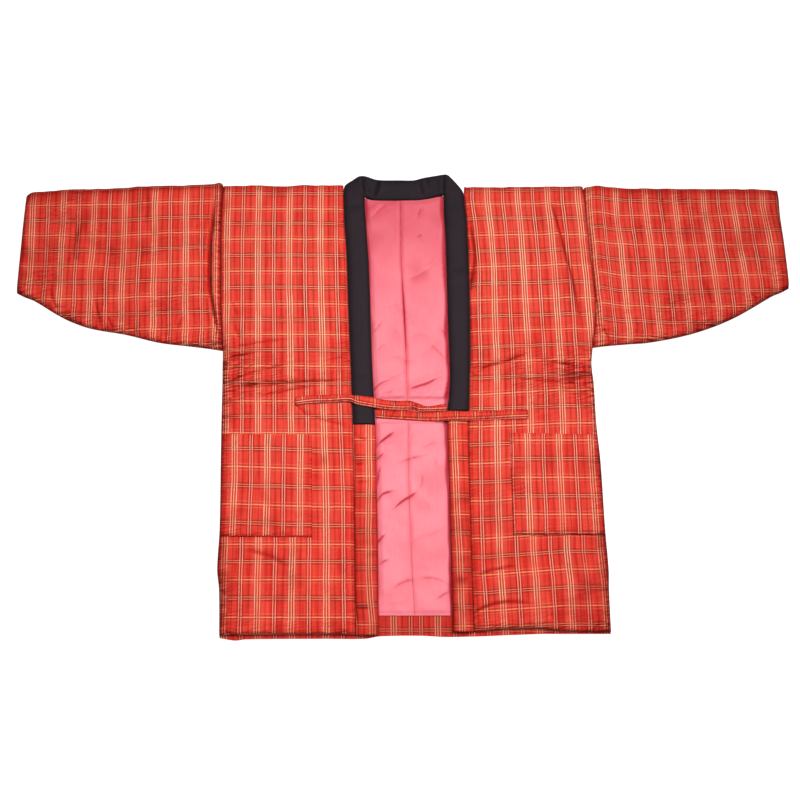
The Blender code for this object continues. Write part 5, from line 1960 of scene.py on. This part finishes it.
@dataclass(frozen=True)
class PlaidCotton:
    """Red checked cotton; stripes are charted in millimetres from a repeat's start."""

    name: str = "plaid_cotton"
    ground: str = "DE3022"
    bright: str = "F85844"
    shade: str = "B01808"
    cream: str = "FFCC9E"
    gold: str = "FFB078"
    pink: str = "FFCEB2"
    dark: str = "6A0A02"
    olive: str = "BE3C1C"
    # Tints of the painted shade, and of its strongest part
    painted_shade: str = "FF7868"
    darkest_painted_shade: str = "8E8886"
    yarn: float = 0.0005

    @property
    def warp_stops(self) -> tuple[tuple, ...]:
        """Stripes along the length: millimetres from a triple stripe, colour, cover."""
        return ((0.0, self.cream, 0.86), (0.5, self.cream, 0.86), (1.1, self.olive, 0.72),
                (3.0, self.olive, 0.72), (3.8, self.pink, 0.8), (4.9, self.pink, 0.8),
                (5.5, self.shade, 0.22), (6.6, self.pink, 0.03), (10.0, self.pink, 0.05),
                (12.6, self.shade, 0.0), (13.7, self.shade, 0.58), (14.8, self.shade, 0.58),
                (15.8, self.shade, 0.0), (22.4, self.shade, 0.0), (23.3, self.shade, 0.66),
                (25.4, self.shade, 0.66), (26.0, self.pink, 0.66), (26.9, self.pink, 0.66),
                (27.4, self.shade, 0.85), (28.5, self.shade, 0.85))

    @property
    def weft_stops(self) -> tuple[tuple, ...]:
        """Stripes across: millimetres from a pair, colour, cover."""
        return ((0.0, self.dark, 0.64), (0.9, self.dark, 0.64), (1.35, self.cream, 0.3),
                (2.15, self.cream, 0.3), (2.7, self.dark, 0.42), (4.8, self.dark, 0.42),
                (5.9, self.dark, 0.0), (24.4, self.pink, 0.0), (25.2, self.pink, 0.07),
                (26.4, self.pink, 0.07), (27.4, self.shade, 0.2), (28.4, self.shade, 0.42),
                (29.4, self.shade, 0.42), (29.9, self.gold, 0.63), (30.75, self.gold, 0.63))

    def make(self) -> Material:
        """Lay the check, its yarns, their unevenness and the painted shade out as nodes.

        Returns:
            The material.
        """
        bench = MaterialBench(self.name, 0.7, 0.03, 0.15)
        check = bench.add("ShaderNodeUVMap")
        check.uv_map = "Check"
        place = bench.add("ShaderNodeSeparateXYZ", Vector=check.outputs[0])
        warp, weft = place.outputs[0], place.outputs[1]
        wander = bench.add("ShaderNodeTexNoise", Vector=check.outputs[0], Scale=1.6, Detail=1.0)
        shift = bench.math("MULTIPLY_ADD", wander.outputs[0], 0.02, -0.01)
        warps, wefts = (
            bench.ramp(bench.math("MULTIPLY", bench.math("PINGPONG", bench.math(
                "ADD", count, shift), 0.5), 2.0), stops, 500.0 * repeat)
            for count, stops, repeat in ((warp, self.warp_stops, WARP_REPEAT),
                                         (weft, self.weft_stops, WEFT_REPEAT)))
        warp_slub, weft_slub, band = (
            bench.noise(bench.add("ShaderNodeMapping", Vector=check.outputs[0],
                                  Scale=scale).outputs[0], 1.0, detail, contrast)
            for scale, detail, contrast in (((60.0, 1.6, 1.0), 2.0, 2.6), ((2.0, 46.0, 1.0), 2.0, 2.2),
                                            ((9.0, 0.5, 1.0), 1.0, 2.4)))
        cloud = bench.noise(check.outputs[0], 1.3, 3.0, 2.0)
        ground = bench.mix(band, opaque(self.ground), opaque(self.bright))
        streak = bench.math("MULTIPLY_ADD", warp_slub, 0.3, bench.math("MULTIPLY", weft_slub, 0.24))
        streak = bench.math("MULTIPLY_ADD", cloud, 0.22, streak)
        ground = bench.mix(bench.math("SUBTRACT", streak, 0.22), ground, opaque(self.shade))
        colour = bench.lay(ground, wefts, bench.math("MULTIPLY_ADD", weft_slub, 0.8, 0.53))
        colour = bench.lay(colour, warps, bench.math("MULTIPLY_ADD", cloud, 0.85, 0.45))
        light = bench.add("ShaderNodeSeparateColor", Color=wefts.outputs[0]).outputs["Green"]
        light = bench.math("DIVIDE", light, bench.math("MAXIMUM", wefts.outputs[1], 0.01))
        colour = bench.lay(colour, wefts, bench.math("MULTIPLY", light, 1.2))
        wrinkle_shade, folds = bench.wrinkles(check.outputs[0], (1.3, 11.0, 1.0), 0.14)
        # Painted shade from the mesh's field and along the fine wrinkles.
        colour = bench.paint_shade(colour, opaque(self.painted_shade), opaque(self.darkest_painted_shade), 0.9, wrinkle_shade, 0.72)

        turns = 2 * math.pi
        warp_yarn, weft_yarn = (
            bench.math("SINE", bench.math("MULTIPLY", count, turns * repeat / self.yarn))
            for count, repeat in ((warp, WARP_REPEAT), (weft, WEFT_REPEAT)))
        weave = bench.math("MULTIPLY", warp_yarn, weft_yarn)
        height = bench.math("MULTIPLY_ADD", weave, 0.5, streak)
        return bench.finish(colour, height, 0.35, 0.00012, folds, 0.0011)


@dataclass(frozen=True)
class PlainCloth:
    """A cloth of one colour with its own weave, uneven tone and painted shade."""

    name: str
    base: str
    light: str
    # Tints of the painted shade, and of its strongest part
    painted_shade: str
    darkest_painted_shade: str
    roughness: float
    sheen: float
    specular: float
    yarn: float
    wrinkles: tuple[float, float, float] = (22.0, 85.0, 1.0)

    def make(self) -> Material:
        """Lay out its tone, weave and painted shade as nodes.

        Returns:
            The material.
        """
        bench = MaterialBench(self.name, self.roughness, self.sheen, self.specular)
        place = bench.add("ShaderNodeTexCoord").outputs["Object"]
        parts = bench.add("ShaderNodeSeparateXYZ", Vector=place)
        stretched = bench.add("ShaderNodeMapping", Vector=place, Scale=(900.0, 40.0, 40.0))
        slub = bench.noise(stretched.outputs[0], 1.0)
        cloud = bench.noise(place, 22.0, 3.0)
        tone = bench.math("MULTIPLY_ADD", slub, 0.4, bench.math("MULTIPLY", cloud, 0.6))
        colour = bench.mix(tone, opaque(self.base), opaque(self.light))
        wrinkle_shade, folds = bench.wrinkles(place, self.wrinkles, -0.5)
        # Painted shade from the mesh's field and along the fine wrinkles.
        colour = bench.paint_shade(colour, opaque(self.painted_shade), opaque(self.darkest_painted_shade), 0.95, wrinkle_shade, 0.45)
        turns = 2 * math.pi / self.yarn
        first, second = (bench.math("SINE", bench.math("MULTIPLY", parts.outputs[k], turns))
                         for k in (0, 1))
        height = bench.math("MULTIPLY_ADD", bench.math("MULTIPLY", first, second), 0.5, slub)
        return bench.finish(colour, height, 0.3, 0.0001, folds, 0.001)


@dataclass(frozen=True)
class Studio:
    """Camera, floor and soft light for a cut-out on white."""

    tilt: float = math.radians(13.7)  # from straight down
    lens: float = 50.0
    camera_at: tuple[float, float, float] = (-0.0055, -0.4727, 1.9165)
    floor_size: float = 8.0
    floor_tone: float = 0.3
    floor_glow: float = 1.0  # how bright the table looks by itself
    sky: float = 0.09
    sun: float = 1.12
    sun_width: float = math.radians(16.0)
    sun_from: tuple[float, float, float] = (0.62, 0.6, 1.0)
    box_power: float = 14.0
    box_at: tuple[float, float, float] = (0.02, 0.12, 1.35)
    box_size: float = 0.7
    fill_power: float = 3.5
    fill_at: tuple[float, float, float] = (-0.35, -1.3, 0.85)

    def build(self) -> None:
        """Set up the whole studio."""
        scene = bpy.context.scene
        scene.view_settings.view_transform = "Standard"
        self.add_camera()
        self.add_floor()
        self.add_lights()
        world = bpy.data.worlds.new("soft_white")
        world.use_nodes = True
        background = world.node_tree.nodes["Background"]
        background.inputs["Color"].default_value = WHITE
        background.inputs["Strength"].default_value = self.sky
        scene.world = world
        log.info("studio ready")

    def add_camera(self) -> None:
        """Put the camera where the photograph was taken from."""
        data = bpy.data.cameras.new("camera")
        data.lens = self.lens
        camera = bpy.data.objects.new("camera", data)
        camera.location = self.camera_at
        camera.rotation_euler = (self.tilt, 0.0, 0.0)
        bpy.context.collection.objects.link(camera)
        bpy.context.scene.camera = camera

    def add_floor(self) -> None:
        """Lay a plain pale floor just under the garment."""
        half = self.floor_size / 2
        mesh = bpy.data.meshes.new("floor")
        corners = [(-half, -half, 0.0), (half, -half, 0.0), (half, half, 0.0), (-half, half, 0.0)]
        mesh.from_pydata(corners, [], [(0, 1, 2, 3)])
        floor = bpy.data.objects.new("floor", mesh)
        floor.location.z = -0.0004
        bpy.context.collection.objects.link(floor)
        bench = MaterialBench("floor_white", 0.9, 0.0, 0.1)
        rays = bench.add("ShaderNodeLightPath").outputs["Is Camera Ray"]
        for socket, value in (("Base Color", (self.floor_tone,) * 3 + (1.0,)),
                              ("Emission Color", WHITE),
                              ("Emission Strength", bench.math("MULTIPLY", rays, self.floor_glow))):
            bench.give(bench.shader.inputs[socket], value)
        mesh.materials.append(bench.material)

    def add_lights(self) -> None:
        """Light from the wearer's upper left, a soft box over the middle and a fill below."""
        sun = bpy.data.lights.new("window", "SUN")
        sun.energy = self.sun
        sun.angle = self.sun_width
        self.hang(sun, self.sun_from)
        for name, power, size, place in (("soft_box", self.box_power, self.box_size, self.box_at),
                                         ("fill", self.fill_power, 1.2, self.fill_at)):
            box = bpy.data.lights.new(name, "AREA")
            box.energy = power
            box.size = size
            self.hang(box, place)

    def hang(self, data: bpy.types.Light, place: tuple[float, float, float]) -> None:
        """Hang a light at a place and turn it to the middle of the garment.

        Args:
            data: The light.
            place: Where it hangs.
        """
        light = bpy.data.objects.new(data.name, data)
        light.location = place
        x, y, z = place
        light.rotation_euler = (math.atan2(math.hypot(x, y), z), 0.0, math.atan2(x, -y))
        bpy.context.collection.objects.link(light)


def main() -> None:
    """Dress the jacket piece by piece."""
    logging.basicConfig(level=logging.INFO, format="%(message)s")
    Studio().build()
    plaid = PlaidCotton().make()
    # The third and fourth colours of each plain cloth tint its painted shade.
    pink = PlainCloth("pink_lining", "FA6E80", "FF96A0", "DC5076", "D8B0C0", 0.5, 0.1, 0.3,
                      0.00035).make()
    black = PlainCloth("black_cotton", "1E141A", "2C1F27", "504850", "808080", 0.7, 0.1, 0.2,
                       0.00045).make()
    for side in Side:
        Body(side).make([plaid, pink])
    for sleeve in SLEEVES:
        sleeve.make([plaid, pink])
    LiningHalf(Side.RIGHT, (0.11, 0.76)).make(pink)
    LiningHalf(Side.LEFT, (0.12, 0.76)).make(pink)
    for band in FRONT_BANDS:
        band.make(plaid)
    NeckBand().make(black)
    Pocket(Side.RIGHT, (-0.159, -0.0715), (-0.1555, -0.2515), -0.0715, -0.25).make(plaid)
    Pocket(Side.LEFT, (0.1855, -0.069), (0.188, -0.2485), -0.073, -0.2475).make(plaid)
    for tie in TIES:
        tie.make(plaid)


if __name__ == "__main__":
    main()
